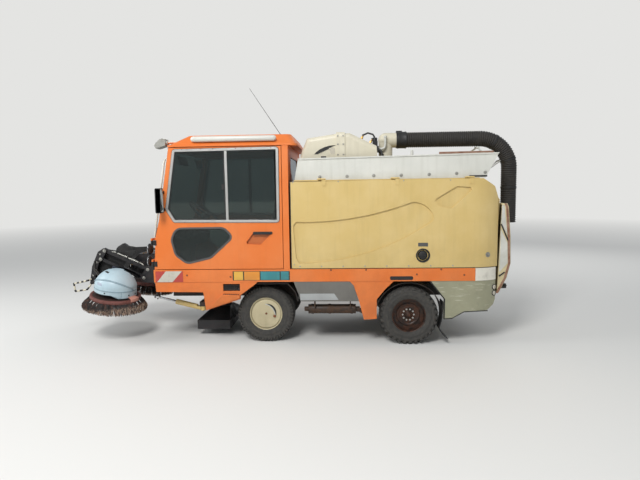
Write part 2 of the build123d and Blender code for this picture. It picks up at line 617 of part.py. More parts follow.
with BuildPart() as dashboard:
    cowl = [(-1262, 930), (-1262, 1060), (-1180, 1085), (-1060, 1040), (-1090, 930)]
    plate(cowl, -500, 500)
    fillet(dashboard.edges().filter_by(Axis.Y).group_by(Axis.X)[-1], radius=20)
    block((-1240, -90, FLOOR_TOP), (-1130, 90, 935))
    rod(COLUMN_FOOT, WHEEL_AT, 24)
    lean = (Vector(*WHEEL_AT) - Vector(*COLUMN_FOOT)).normalized()
    wheel_plane = Plane(origin=WHEEL_AT, x_dir=(0, 1, 0), z_dir=lean)
    with BuildSketch(wheel_plane) as hub:
        Circle(42)
    extrude(hub.sketch, amount=30)
    with BuildSketch(wheel_plane.offset(8)) as spokes:
        Rectangle(2 * (WHEEL_R - GRIP_R / 2), 30)
        with Locations((0, WHEEL_R / 2)):
            Rectangle(30, WHEEL_R - GRIP_R / 2)
    extrude(spokes.sketch, amount=12)
    with BuildSketch(Plane(origin=WHEEL_AT, x_dir=(0, 1, 0), z_dir=Vector(0, 1, 0).cross(lean))) as grip:
        with Locations((WHEEL_R, 14)):
            Circle(GRIP_R)
    revolve(grip.sketch, axis=Axis(WHEEL_AT, lean))
save(dashboard, "dashboard")

# Orange sides: the belt, the lower cab panels and the skirts before the rear wheels
PANEL_OUT = BODY_HALF - 5
PANEL_IN = BODY_HALF - BELT_T
CAB_PANEL = [(-1325, BELT_LOW), (-1317, 535), (-852, 530), (-845, 524), (-823, 347), (-478, 459),
             (-475, 499), (-350, 590), (-310, 621), (-310, BELT_LOW)]
SKIRT = [(602, BELT_LOW), (640, 590), (692, 434), (737, 251), (862, 259), (863, 453), (942, 549),
         (1025, 629), (1025, BELT_LOW)]
STEP_VENT = ((-646.0, -478.0), (540.0, 612.0))

with BuildPart() as side_panels:
    for _, sign in SIDES:
        side_block(sign, (BELT_FRONT, BELT_REAR), (PANEL_IN, BODY_HALF), (BELT_LOW, BELT_TOP))
        plate(CAB_PANEL, sign * PANEL_IN, sign * PANEL_OUT)
        side_block(sign, STEP_VENT[0], (PANEL_IN, PANEL_OUT), STEP_VENT[1], mode=Mode.SUBTRACT)
        plate(SKIRT, sign * PANEL_IN, sign * PANEL_OUT)
    extrude(bowed_strip(BELT_FRONT, BELT_LOW, NOSE_BOW, BELT_T, BODY_HALF), amount=BELT_TOP - BELT_LOW)
save(side_panels, "side_panels")

# Grey side covers between the wheels
COVER = [(53, BELT_LOW), (104, 497), (118, 434), (690, 434), (638, 590), (600, BELT_LOW)]

with BuildPart() as side_covers:
    for _, sign in SIDES:
        plate(COVER, sign * PANEL_IN, sign * PANEL_OUT)
save(side_covers, "side_covers")

# Exhaust silencer behind the left cover
MUFFLER_Y = -556.0
MUFFLER_Z = 340.0
MUFFLER_R = 46.0
MUFFLER_X = (190.0, 660.0)
PIPE_R = 23.0
HANGER_TOP = 450.0

with BuildPart() as muffler:
    rod((MUFFLER_X[0], MUFFLER_Y, MUFFLER_Z), (MUFFLER_X[1], MUFFLER_Y, MUFFLER_Z), MUFFLER_R)
    fillet(muffler.edges().filter_by(GeomType.CIRCLE), radius=10)
    rod((MUFFLER_X[0] - 40, MUFFLER_Y, MUFFLER_Z), (MUFFLER_X[1] + 40, MUFFLER_Y, MUFFLER_Z), PIPE_R)
    for x in (MUFFLER_X[0] + 60, MUFFLER_X[1] - 60):
        block((x, -PANEL_IN, MUFFLER_Z + 30), (x + 12, MUFFLER_Y, HANGER_TOP))
save(muffler, "muffler")

# Grey rear corners: the belt's end pieces above, the bumper panels below
BUMPER_REAR = 2018.0
BUMPER = [(1368, BELT_LOW), (1510, 451), (1507, 258), (1590, 264), (1702, 328), (1931, 338), (1998, 390),
          (BUMPER_REAR, 440), (BUMPER_REAR, BELT_LOW)]
BUMPER_LOW = 200.0
BUMPER_IN = BODY_HALF - 220
BUMPER_SIDE = BODY_HALF - 83

with BuildPart() as rear_bumper:
    for _, sign in SIDES:
        corner_wall(sign, BELT_REAR + 2, BODY_HALF, BELT_T, BELT_LOW, BELT_TOP, x_end=BUMPER_REAR)
        corner_wall(sign, BUMPER[0][0], PANEL_OUT, PANEL_OUT - PANEL_IN, BUMPER_LOW, BELT_LOW, x_end=BUMPER_REAR)
    around = [(BUMPER[0][0] - 100, BUMPER_LOW), (BUMPER[0][0] - 100, BELT_LOW)] + BUMPER
    around += [(BUMPER_REAR + 100, BELT_LOW), (BUMPER_REAR + 100, BUMPER_LOW)]
    plate(around, -BODY_HALF, BODY_HALF, mode=Mode.SUBTRACT)
    for _, sign in SIDES:
        side_block(sign, (BUMPER_REAR - BELT_T, BUMPER_REAR), (BUMPER_IN, BUMPER_SIDE), (BUMPER[-2][1], BELT_TOP))
save(rear_bumper, "rear_bumper")

# Carrier for the side brushes in front of the cab, with the black valve box on it and a towing eye
BAR_X = (-1430.0, -1380.0)
BAR_HALF = 250.0
BAR_T = 50.0
EAR_LOW = 546.0
EAR_TOP = 754.0
EAR_T = 14.0
COLUMN_R = 28.0
COLUMN_PIN_R = 12.0
BOX_HALF = 130.0
VALVE_BOX = [(-1380, 596), (-1380, 851), (-1686, 851), (-1757, 778), (-1780, 690), (-1780, 630), (-1750, 596)]
FRONT_EYE = (-1470.0, EAR_LOW + 15)
POST_T = 30.0

with BuildPart() as front_carrier:
    block((BAR_X[0], -BAR_HALF, EAR_LOW), (BAR_X[1], BAR_HALF, EAR_LOW + BAR_T))
    for _, sign in SIDES:
        side_block(sign, (BAR_X[0], BAR_X[0] + POST_T), (BOX_HALF, BAR_HALF - 50), (EAR_TOP - 40, EAR_TOP))
        rod((SWING_X, sign * SWING_Y, EAR_LOW + EAR_T), (SWING_X, sign * SWING_Y, EAR_TOP - EAR_T), COLUMN_PIN_R)

with BuildPart() as carrier_ears:
    for _, sign in SIDES:
        side_block(sign, (BAR_X[1], RAIL_FRONT), (RAIL_IN, RAIL_OUT), (EAR_LOW, EAR_LOW + BAR_T))
        for low in (EAR_LOW, EAR_TOP - EAR_T):
            side_block(sign, (SWING_X, BAR_X[0]), (SWING_Y - 25, BAR_HALF), (low, low + EAR_T))
            rod((SWING_X, sign * SWING_Y, low), (SWING_X, sign * SWING_Y, low + EAR_T), COLUMN_R - 2)
    eye_x, eye_z = FRONT_EYE
    block((eye_x, -EYE_LUG_HALF, eye_z), (BAR_X[0], EYE_LUG_HALF, eye_z + EYE_T))
    rod((eye_x, 0, eye_z), (eye_x, 0, eye_z + EYE_T), EYE_LUG_HALF)
    rod((eye_x, 0, eye_z), (eye_x, 0, eye_z + EYE_T), TOW_BORE_R, mode=Mode.SUBTRACT)

with BuildPart() as valve_box:
    plate(VALVE_BOX, -BOX_HALF, BOX_HALF)
    for _, sign in SIDES:
        side_block(sign, (BAR_X[0], BAR_X[0] + POST_T), (BAR_HALF - 50, BAR_HALF), (EAR_LOW + BAR_T, EAR_TOP))
save(front_carrier, "front_carrier", carrier_ears, valve_box)

# Swing brackets: a column in the carrier's ears, clevis plates for the links and a lug for the cylinder
CLEVIS = (SWING_Y - LINK_W / 2, SWING_Y + LINK_W / 2)
CLEVIS_T = 14.0
COLUMN_LOW = EAR_LOW + EAR_T + TOUCH_GAP
COLUMN_TOP = EAR_TOP - EAR_T - TOUCH_GAP
LUG_T = 24.0


def clevis_plates(sign, points):
    """Two plates on either side of the links, in X and Z."""
    near, far = CLEVIS[0] - TOUCH_GAP, CLEVIS[1] + TOUCH_GAP
    plate(points, sign * near, sign * (near - CLEVIS_T))
    plate(points, sign * far, sign * (far + CLEVIS_T))


def clevis_pins(sign, places):
    """Pins through both plates."""
    reach = LINK_W / 2 + TOUCH_GAP + CLEVIS_T
    for x, z in places:
        drum_y(x, z, sign * (SWING_Y - reach), sign * (SWING_Y + reach), LINK_PIN_R)


for side, sign in SIDES:
    with BuildPart() as swing_bracket:
        rod((SWING_X, sign * SWING_Y, COLUMN_LOW), (SWING_X, sign * SWING_Y, COLUMN_TOP), COLUMN_R)
        clevis_plates(sign, [(SWING_X, COLUMN_TOP), (-1560, COLUMN_TOP), (-1580, 690), (-1626, 620),
                             (-1612, 578), (-1560, COLUMN_LOW), (SWING_X, COLUMN_LOW)])
        eye_x, eye_y, eye_z = SWING_EYE
        lug = Vector(eye_x - SWING_X, sign * (eye_y - SWING_Y))
        with BuildSketch(Plane(origin=(SWING_X, sign * SWING_Y, COLUMN_LOW), x_dir=lug)) as arm:
            with Locations((lug.length / 2, 0)):
                Rectangle(lug.length, 30)
            with Locations((lug.length, 0)):
                Circle(18)
        extrude(arm.sketch, amount=LUG_T)
        rod((SWING_X, sign * SWING_Y, COLUMN_LOW - 1), (SWING_X, sign * SWING_Y, COLUMN_TOP + 1),
            COLUMN_PIN_R + FIT_GAP, mode=Mode.SUBTRACT)
        rod((eye_x, sign * eye_y, eye_z - 25), (eye_x, sign * eye_y, COLUMN_LOW + 1), SWING_PIN_R - 1)
        clevis_pins(sign, (UPPER_PIN, LOWER_PIN))
    save(swing_bracket, f"swing_bracket_{side}")

# Parallel links from the bracket to the head, two per brush
LINKS = (("lift_arm_upper", UPPER_PIN), ("lift_arm_lower", LOWER_PIN))
LINK_HALF = 16.0
LINK_BOSS_R = 22.0

for side, sign in SIDES:
    for label, (pin_x, pin_z) in LINKS:
        ends = ((pin_x, pin_z), (pin_x + LIFT_LINK[0], pin_z + LIFT_LINK[1]))
        along = Vector(*LIFT_LINK).normalized() * LINK_HALF
        with BuildPart() as link:
            bar = [(pin_x - along.Y, pin_z + along.X), (ends[1][0] - along.Y, ends[1][1] + along.X),
                   (ends[1][0] + along.Y, ends[1][1] - along.X), (pin_x + along.Y, pin_z - along.X)]
            plate(bar, sign * CLEVIS[0], sign * CLEVIS[1])
            for x, z in ends:
                drum_y(x, z, sign * CLEVIS[0], sign * CLEVIS[1], LINK_BOSS_R)
            for x, z in ends:
                drum_y(x, z, sign * (CLEVIS[0] - 1), sign * (CLEVIS[1] + 1), LINK_PIN_R + FIT_GAP,
                       mode=Mode.SUBTRACT)
        save(link, f"{label}_{side}")

# Brush heads: a post on the links, an arm to the motor over the plate, and the bumper hoop in front
PLATE_T = 22.0
MOTOR_R = 58.0
MOTOR_LOW = PLATE_T + RUN_GAP
MOTOR_TOP = 130.0
SHAFT_R = 18.0
SHAFT_IN = 55.0
HOOP_R = 9.0
HOOP_Y = 330.0
ARM_R = 20.0


def spin_plane(sign, height=0.0):
    """Plane square to the brush's spindle at a height over the plate's underside, X pointing back."""
    spindle = Vector(BRUSH_LEAN[0], sign * BRUSH_LEAN[1], 1).normalized()
    origin = Vector(BRUSH_X, sign * BRUSH_Y, BRUSH_Z) + spindle * height
    return Plane(origin=origin, x_dir=Vector(0, 1, 0).cross(spindle), z_dir=spindle)


for side, sign in SIDES:
    with BuildPart() as brush_head:
        upper = (UPPER_PIN[0] + LIFT_LINK[0], UPPER_PIN[1] + LIFT_LINK[1])
        lower = (LOWER_PIN[0] + LIFT_LINK[0], LOWER_PIN[1] + LIFT_LINK[1])
        post_front = [(upper[0] - 72, upper[1] - 10), (-2149, 738), (-2184, 545)]
        clevis_plates(sign, [(upper[0] + 28, upper[1] + 6), (upper[0] - 10, upper[1] + 28), *post_front,
                             (-2146, 545), (lower[0] - 22, lower[1] - 40), (lower[0] + 10, lower[1] - 14)])
        clevis_pins(sign, (upper, lower))
        # web between the plates, in front of the links
        plate([(upper[0] - 58, upper[1] - 7), *post_front, (-2158, 545), (-2124, 738)],
              sign * (CLEVIS[0] - TOUCH_GAP), sign * (CLEVIS[1] + TOUCH_GAP))
        arm_end = spin_plane(sign, MOTOR_TOP - ARM_R - 10).origin
        rod((-2160, sign * SWING_Y, 572), (arm_end.X, arm_end.Y, arm_end.Z), ARM_R)
        with BuildSketch(spin_plane(sign, MOTOR_LOW)) as motor:
            Circle(MOTOR_R)
        extrude(motor.sketch, amount=MOTOR_TOP - MOTOR_LOW)
        with BuildSketch(spin_plane(sign, MOTOR_LOW)) as bore:
            Circle(SHAFT_R + FIT_GAP)
        extrude(bore.sketch, amount=SHAFT_IN + 5, mode=Mode.SUBTRACT)
        clevis_out = SWING_Y + LINK_W / 2 + CLEVIS_T
        hoop = [(-2150, clevis_out, 606), (-2176, HOOP_Y, 596), (-2327, HOOP_Y, 564), (-2315, HOOP_Y, 481),
                (-2184, HOOP_Y, 500), (-2164, clevis_out, 556)]
        hoop = [(x, sign * y, z) for x, y, z in hoop]
        for start, end in zip(hoop, hoop[1:]):
            rod(start, end, HOOP_R)
        for corner in hoop[1:-1]:
            with Locations(corner):
                Sphere(HOOP_R)
    save(brush_head, f"brush_head_{side}")

# Hoods: a moulded dome over the outer side of each motor, seated on it by a collar
HOOD_T = 8.0
HOOD_R = 208.0
HOOD_LOW = PLATE_T + RUN_GAP + 4
HOOD_SHOULDER = 140.0
HOOD_TOP = 285.0
HOOD_FLAT = 36.0
HOOD_TURN = 200.0          # how far the dome goes round the spindle
COLLAR_R = 70.0
COLLAR_TOP = 278.0
HOOD_CUT = [(128, HOOD_LOW - 8), (40, 66), (-HOOD_R - 20, 62), (-HOOD_R - 20, HOOD_LOW - 8)]     # raised front edge

for side, sign in SIDES:
    with BuildPart() as brush_hood:
        base = spin_plane(sign)
        spindle = base.z_dir
        # the dome starts in front on the left and behind on the right, and turns round the outer side
        extra = (HOOD_TURN - 180) / 2
        turn = math.radians(180 - extra if sign < 0 else -extra)
        ray = base.x_dir * math.cos(turn) + base.y_dir * math.sin(turn)
        with BuildSketch(Plane(origin=base.origin, x_dir=ray, z_dir=ray.cross(spindle))) as dome:
            with BuildLine():
                Line((0, HOOD_TOP), (HOOD_FLAT, HOOD_TOP))
                ThreePointArc((HOOD_FLAT, HOOD_TOP), (150, 236), (HOOD_R, HOOD_SHOULDER))
                Polyline((HOOD_R, HOOD_SHOULDER), (HOOD_R + 4, HOOD_LOW), (HOOD_R + 4 - HOOD_T, HOOD_LOW),
                         (HOOD_R - HOOD_T, HOOD_SHOULDER))
                ThreePointArc((HOOD_R - HOOD_T, HOOD_SHOULDER), (144, 230), (HOOD_FLAT, HOOD_TOP - HOOD_T))
                Polyline((HOOD_FLAT, HOOD_TOP - HOOD_T), (0, HOOD_TOP - HOOD_T), (0, HOOD_TOP))
            make_face()
        revolve(dome.sketch, axis=Axis(base.origin, spindle), revolution_arc=HOOD_TURN)
        side_view = Plane(origin=base.origin, x_dir=base.x_dir, z_dir=base.x_dir.cross(spindle))
        with BuildSketch(side_view) as front_cut:
            with BuildLine():
                Polyline(*HOOD_CUT, close=True)
            make_face()
        extrude(front_cut.sketch, amount=HOOD_R + 20, both=True, mode=Mode.SUBTRACT)
        with BuildSketch(spin_plane(sign, MOTOR_TOP)) as collar:
            Circle(COLLAR_R)
            Circle(MOTOR_R - 10, mode=Mode.SUBTRACT)
        extrude(collar.sketch, amount=COLLAR_TOP - MOTOR_TOP)
        with BuildSketch(spin_plane(sign, COLLAR_TOP - HOOD_T)) as lid:
            Circle(COLLAR_R)
        extrude(lid.sketch, amount=HOOD_T)
    save(brush_hood, f"brush_hood_{side}")

# Brushes: a plate on its shaft with a ring of splayed wire tufts
TUFTS = 36
TUFT_W = 20.0
TUFT = [(204, 2), (PLATE_R - 4, 2), (TIP_R, -100), (TIP_R - 36, -122)]

for side, sign in SIDES:
    with BuildPart() as brush:
        base = spin_plane(sign)
        with BuildSketch(base) as disc:
            Circle(PLATE_R)
        extrude(disc.sketch, amount=PLATE_T)
        with BuildSketch(base) as shaft:
            Circle(SHAFT_R)
        extrude(shaft.sketch, amount=MOTOR_LOW + SHAFT_IN)
        for count in range(TUFTS):
            turn = math.radians(360 * count / TUFTS)
            out = base.x_dir * math.cos(turn) + base.y_dir * math.sin(turn)
            with BuildSketch(Plane(origin=base.origin, x_dir=out, z_dir=out.cross(base.z_dir))) as tuft:
                with BuildLine():
                    Polyline(*TUFT, close=True)
                make_face()
            extrude(tuft.sketch, amount=TUFT_W / 2, both=True)
    save(brush, f"brush_{side}")

# Swing cylinders: a barrel pinned to the frame and a rod to the swing bracket's lug
BARREL_R = 27.0
BARREL_EYE_R = 25.0
RAM_R = 12.0
RAM_EYE = (20.0, 32.0)

for side, sign in SIDES:
    pin_at = Vector(SWING_CYL[0], sign * SWING_CYL[1], SWING_CYL[2])
    eye_at = Vector(SWING_EYE[0], sign * SWING_EYE[1], SWING_EYE[2])
    along = (eye_at - pin_at).normalized()
    length = (eye_at - pin_at).length
    eye_half = SWING_ARM_LOW - TOUCH_GAP - pin_at.Z
    with BuildPart() as barrel:
        rod(tuple(pin_at - Vector(0, 0, eye_half)), tuple(pin_at + Vector(0, 0, eye_half)), BARREL_EYE_R)
        rod(tuple(pin_at + along * 18), tuple(pin_at + along * 300), BARREL_R)
        rod(tuple(pin_at + along * 50), tuple(pin_at + along * 310), RAM_R + FIT_GAP, mode=Mode.SUBTRACT)
        rod(tuple(pin_at - Vector(0, 0, 40)), tuple(pin_at + Vector(0, 0, 40)), SWING_PIN_R + FIT_GAP,
            mode=Mode.SUBTRACT)
        block(tuple(pin_at + Vector(-60, -60, eye_half)), tuple(pin_at + Vector(60, 60, 60)), mode=Mode.SUBTRACT)
    save(barrel, f"swing_barrel_{side}")
    with BuildPart() as ram:
        rod(tuple(pin_at + along * 110), tuple(eye_at - along * 26), RAM_R)
        rod(tuple(eye_at - Vector(0, 0, 10)), tuple(eye_at + Vector(0, 0, 10)), RAM_EYE[1])
        rod(tuple(eye_at - Vector(0, 0, 11)), tuple(eye_at + Vector(0, 0, 11)), RAM_EYE[0], mode=Mode.SUBTRACT)
    save(ram, f"swing_ram_{side}")

# Lamps on the nose and the roof's front, grab tubes beside the roof and the antenna
LAMP_Y = 450.0
STEM_R = 12.0
LAMPS = ((943.0, -1450.0, 56.0, 46.0), (818.0, -1456.0, 56.0, 40.0))     # height, front, radius, depth
WORK_LAMP = [(-1306, 1985), (-1290, 1945), (LAMP_ARM_FRONT, 1975), (LAMP_ARM_FRONT, 2030), (-1250, 2040)]
ANTENNA = ((-94.0, 0.0, ROOF_TOP), (-447.0, 0.0, 2610.0))

with BuildPart() as cab_fittings:
    for _, sign in SIDES:
        for z, x, radius, depth in LAMPS:
            rod((x, sign * LAMP_Y, z), (x + depth, sign * LAMP_Y, z), radius)
            stem_end = nose_front(LAMP_Y - STEM_R, z) - FIT_GAP
            rod((x + depth, sign * LAMP_Y, z), (stem_end, sign * LAMP_Y, z), STEM_R)
        plate(WORK_LAMP, sign * (LAMP_KINGPIN_Y - 60), sign * (LAMP_KINGPIN_Y + 60))
        tube_at = (sign * RAIL_TUBE[0], RAIL_TUBE[1])
        rod((RAIL_TUBE_X[0], *tube_at), (RAIL_TUBE_X[1], *tube_at), RAIL_TUBE_R)
    foot_at, tip_at = ANTENNA
    rod(foot_at, (foot_at[0], foot_at[1], foot_at[2] + 20), 20)
    rod((foot_at[0], foot_at[1], foot_at[2] + 14), tip_at, 5)
save(cab_fittings, "cab_fittings")

# Doors with both windows cut, the handle in its recess, the mirror and the moving hinge halves
WINDOW = [(-1089, 1923), (-74, 1932), (-78, 1219), (-1106, 1229), (-1180, 1352)]
TEARDROP = [(-1142, 1053), (-1094, 1165), (-616, 1167), (-532, 1074), (-756, 873), (-992, 817), (-1105, 904)]
TEARDROP_R = (90, 90, 90, 45, 90, 90, 90)
WINDOW_R = 25.0
RECESS = [(-414, 1008), (-330, 1118), (-137, 1121), (-262, 997)]
RECESS_R = 16.0
RECESS_DEPTH = 22.0
HANDLE = ((-330.0, -150.0), (1100.0, 1122.0))
DOOR_FRONT_GAP = 12.0
PANE_IN = BODY_HALF - 14
MIRROR_X = (-1232.0, -1188.0)
MIRROR_Y = (BODY_HALF + 50, BODY_HALF + 130)
MIRROR_Z = (1326.0, 1551.0)


for side, sign in SIDES:
    with BuildPart() as door:
        skin = [(x + DOOR_FRONT_GAP, z) for x, z in (NOSE_FOOT, NOSE_TOP, SCREEN_KNEE, GUTTER_FRONT)]
        skin[0] = (skin[0][0], DOOR_LOW)
        skin += [(DOOR_REAR, GUTTER_FRONT[1]), (DOOR_REAR, DOOR_LOW)]
        y_in, y_out = sign * (BODY_HALF - DOOR_T), sign * BODY_HALF
        plate(skin, y_in, y_out)
        extrude(rounded_xz(WINDOW, WINDOW_R, y_in), amount=y_in - y_out, mode=Mode.SUBTRACT)
        extrude(rounded_xz(TEARDROP, TEARDROP_R, y_in), amount=y_in - y_out, mode=Mode.SUBTRACT)
        extrude(rounded_xz(RECESS, RECESS_R, y_out), amount=sign * RECESS_DEPTH, mode=Mode.SUBTRACT)
        side_block(sign, HANDLE[0], (BODY_HALF - RECESS_DEPTH, BODY_HALF + 8), HANDLE[1])
        for z in (MIRROR_Z[0] + 24, MIRROR_Z[1] - 31):
            rod((MIRROR_X[1] - 8, y_out - sign * 4, z), (MIRROR_X[1] - 22, sign * (MIRROR_Y[0] + 10), z), 8)
        side_block(sign, MIRROR_X, MIRROR_Y, MIRROR_Z)
        for low, high in DOOR_HINGES:
            rod((DOOR_HINGE_X, sign * DOOR_HINGE_Y, low), (DOOR_HINGE_X, sign * DOOR_HINGE_Y, high), HINGE_R)
            side_block(sign, (DOOR_HINGE_X, DOOR_HINGE_X + HINGE_R * 5), (BODY_HALF, BODY_HALF + 5), (low, high))
    save(door, f"door_{side}")
    with BuildPart() as glass:
        pane_y = sign * PANE_IN
        extrude(rounded_xz(WINDOW, WINDOW_R, pane_y, FIT_GAP), amount=-sign * GLASS_T)
        extrude(rounded_xz(TEARDROP, TEARDROP_R, pane_y, FIT_GAP), amount=-sign * GLASS_T)
    save(glass, f"door_glass_{side}")

# Hopper: a box open at the back under a wide roof plate, on two arms at the tipping pins
SHELL = 12.0
ROOF_PLATE = (70.0, 1840.0)
DECK_REAR = 1880.0
ROOF_PLATE_HALF = BODY_HALF - 38
CLAD_T = 30.0
CLAD_HINGES = (300.0, 1000.0, 1700.0)
HINGE_W = 40.0
KNUCKLE_R = 7.0
TAB_IN = ROOF_PLATE_HALF + 3
TIP_ARM = (100.0, 139.0)
TIP_BOSS_R = 34.0
TIP_EYE = (1850.0, 706.0)          # upper pin of the tipping cylinder, X and Z
TIP_EYE_R = 12.0
TIP_LUG = (26.0, 42.0)
GATE_LUG = (300.0, 320.0)
GATE_PIN_R = 10.0
DUCT_HOLE_R = DUCT_R - DUCT_WALL
deck = HOPPER_TOP - SHELL

inner_half = HOPPER_HALF - SHELL

with BuildPart() as hopper_body:
    block((HOPPER_FRONT + SHELL, -inner_half, HOPPER_LOW), (HOPPER_REAR, inner_half, HOPPER_LOW + SHELL))
    plate([(HOPPER_FRONT + SHELL, deck - SHELL), (HOPPER_FRONT + SHELL, deck), (DECK_REAR, deck),
           (DECK_REAR - 4, deck - SHELL)], -inner_half, inner_half)
    block((ROOF_PLATE[0], -ROOF_PLATE_HALF, deck), (ROOF_PLATE[1], ROOF_PLATE_HALF, HOPPER_TOP))
    for _, sign in SIDES:
        tab = [(ROOF_PLATE_HALF, deck), (TAB_IN, deck), (TAB_IN, HOPPER_TOP + 2), (CLAD_HINGE_Y, HOPPER_TOP + 2),
               (CLAD_HINGE_Y, CLAD_HINGE_Z + 5), (ROOF_PLATE_HALF, CLAD_HINGE_Z + 5)]
        for x in CLAD_HINGES:
            with BuildSketch(Plane.YZ.offset(x)) as profile:
                with BuildLine():
                    Polyline(*[(sign * y, z) for y, z in tab], close=True)
                make_face()
            extrude(profile.sketch, amount=HINGE_W)
            pin_at = (sign * CLAD_HINGE_Y, CLAD_HINGE_Z)
            rod((x, *pin_at), (x + HINGE_W, *pin_at), KNUCKLE_R)

with BuildPart() as hopper_sides:
    for _, sign in SIDES:
        plate([(HOPPER_FRONT, HOPPER_LOW), (HOPPER_FRONT, deck), (DECK_REAR, deck), (1990, 1530), (2060, 1400),
               (HOPPER_REAR, HOPPER_LOW)], sign * inner_half, sign * HOPPER_HALF)

with BuildPart() as hopper_ends:
    block((HOPPER_FRONT, -inner_half, HOPPER_LOW), (HOPPER_FRONT + SHELL, inner_half, deck))
    rod((HOPPER_FRONT - 1, 0, DUCT_OUT_Z), (HOPPER_FRONT + SHELL + 1, 0, DUCT_OUT_Z), DUCT_HOLE_R,
        mode=Mode.SUBTRACT)
    plate([(DECK_REAR - 4, deck - SHELL), (DECK_REAR, deck), (1990, 1530), (1980, 1522)], -inner_half, inner_half)

with BuildPart() as hopper_mounts:
    plate([(1980, 1522), (1990, 1530), (2060, 1400), (2046, 1398)], -inner_half, inner_half)
    for _, sign in SIDES:
        plate([(1992, 1524), (2056, 1404), (2080, 1380), (2108, 1390), (2108, 1415), (2010, 1530)],
              sign * GATE_LUG[0], sign * GATE_LUG[1])
        drum_y(GATE_X, GATE_Z, sign * GATE_LUG[0], sign * (GATE_LUG[1] + 24), GATE_PIN_R)
        plate([(1850, HOPPER_LOW), (TIP_X - TIP_BOSS_R, TIP_Z), (TIP_X + TIP_BOSS_R, TIP_Z), (2030, HOPPER_LOW)],
              sign * TIP_ARM[0], sign * TIP_ARM[1])
        drum_y(TIP_X, TIP_Z, sign * TIP_ARM[0], sign * TIP_ARM[1], TIP_BOSS_R)
        drum_y(TIP_X, TIP_Z, sign * (TIP_ARM[0] - 1), sign * (TIP_ARM[1] + 1), TIP_PIN_R + FIT_GAP,
               mode=Mode.SUBTRACT)
        x, z = TIP_EYE
        plate([(x - 45, HOPPER_LOW), (x - 20, z - 14), (x + 20, z - 14), (x + 45, HOPPER_LOW)],
              sign * TIP_LUG[0], sign * TIP_LUG[1])
        drum_y(x, z, 0, sign * TIP_LUG[1], TIP_EYE_R)
save(hopper_body, "hopper_body", hopper_sides, hopper_ends, hopper_mounts)

# Tailgate: a dished door hung from the hopper's upper rear edge
GATE_HALF = BODY_HALF - 90
GATE_T = 14.0
GATE_TOP = 1368.0
GATE_EAR = (GATE_LUG[1] + TOUCH_GAP, GATE_LUG[1] + TOUCH_GAP + 20)
GATE_SIDE = [(2072, GATE_TOP), (2040, 493), (2046, 493), (2120, 640), (2159, 785), (2150, 1050), (2128, 1330),
             (2112, GATE_TOP)]
GATE_DISH = [(2050, GATE_TOP - GATE_T), (2020, 520), (2036, 520), (2106, 648), (2144, 785), (2136, 1045),
             (2114, 1325), (2100, GATE_TOP - GATE_T)]

with BuildPart() as tailgate:
    plate(GATE_SIDE, -GATE_HALF, GATE_HALF)
    plate(GATE_DISH, GATE_T - GATE_HALF, GATE_HALF - GATE_T, mode=Mode.SUBTRACT)
    for _, sign in SIDES:
        plate([(2074, GATE_TOP - 2), (2074, GATE_Z + 8), (GATE_X, GATE_Z + 20), (2110, GATE_Z + 8),
               (2110, GATE_TOP - 2)], sign * GATE_EAR[0], sign * GATE_EAR[1])
        drum_y(GATE_X, GATE_Z, sign * (GATE_EAR[0] - 1), sign * (GATE_EAR[1] + 1), GATE_PIN_R + FIT_GAP,
               mode=Mode.SUBTRACT)
save(tailgate, "tailgate")

# Side claddings with the long swoosh, the upper teardrop and the filler recess, hinged at the top
CLAD_SIDE = [(CLAD_FRONT, HOPPER_LOW), (CLAD_FRONT, HOPPER_TOP - 17), (1869, HOPPER_TOP - RUN_GAP),
             (1991, HOPPER_TOP - 82), (CLAD_REAR, HOPPER_TOP - 195), (CLAD_REAR, HOPPER_LOW)]
FEATHER = [(1412, 1414), (1620, 1540), (1750, 1529), (1760, 1500), (1575, 1328), (1453, 1353)]
SWOOSH_DEPTH = 15.0
FILLER = (1306.0, 881.0, 62.0)

for side, sign in SIDES:
    with BuildPart() as cladding:
        corner_wall(sign, CLAD_FRONT, BODY_HALF, CLAD_T, HOPPER_LOW, HOPPER_TOP)
        plate(CLAD_SIDE, sign * 400, sign * (BODY_HALF + 10), mode=Mode.INTERSECT)
        floor_y = sign * (BODY_HALF - SWOOSH_DEPTH)
        with BuildSketch(Plane.XZ.offset(-floor_y)) as swoosh:
            with BuildLine():
                Line((59, 1178), (88, 1216))
                ThreePointArc((88, 1216), (781, 1276), (1199, 1395))
                ThreePointArc((1199, 1395), (1325, 1360), (1407, 1259))
                Line((1407, 1259), (1398, 1211))
                ThreePointArc((1398, 1211), (1010, 994), (110, 811))
                Polyline((110, 811), (82, 866), (59, 1178))
            make_face()
        extrude(swoosh.sketch, amount=-sign * 2 * SWOOSH_DEPTH, mode=Mode.SUBTRACT)
        extrude(rounded_xz(FEATHER, 18, floor_y), amount=-sign * 2 * SWOOSH_DEPTH, mode=Mode.SUBTRACT)
        drum_y(FILLER[0], FILLER[1], sign * (BODY_HALF - 24), sign * (BODY_HALF + 1), FILLER[2], mode=Mode.SUBTRACT)
        for x in CLAD_HINGES:
            leaf = (x + HINGE_W + FIT_GAP, x + 2 * HINGE_W)
            side_block(sign, leaf, (BODY_HALF, BODY_HALF + 6), (CLAD_HINGE_Z - 64, CLAD_HINGE_Z))
            pin_at = (sign * CLAD_HINGE_Y, CLAD_HINGE_Z)
            rod((leaf[0], *pin_at), (leaf[1], *pin_at), KNUCKLE_R)
    save(cladding, f"cladding_{side}")

# White fairing boards round the roof, with the cradle that carries the hose
FAIRING_LOW = HOPPER_TOP + 207      # top edge in front and behind
FAIRING_HIGH = HOPPER_TOP + 234
FAIRING = [(77, HOPPER_TOP), (114, FAIRING_LOW), (2020, FAIRING_HIGH), (1897, HOPPER_TOP)]
FAIRING_OUT = BODY_HALF - 40
FAIRING_T = 20.0
HOSE_Y = -200.0
HOSE_Z = 2018.0
HOSE_R = 80.0
CRADLE_X = 1915.0

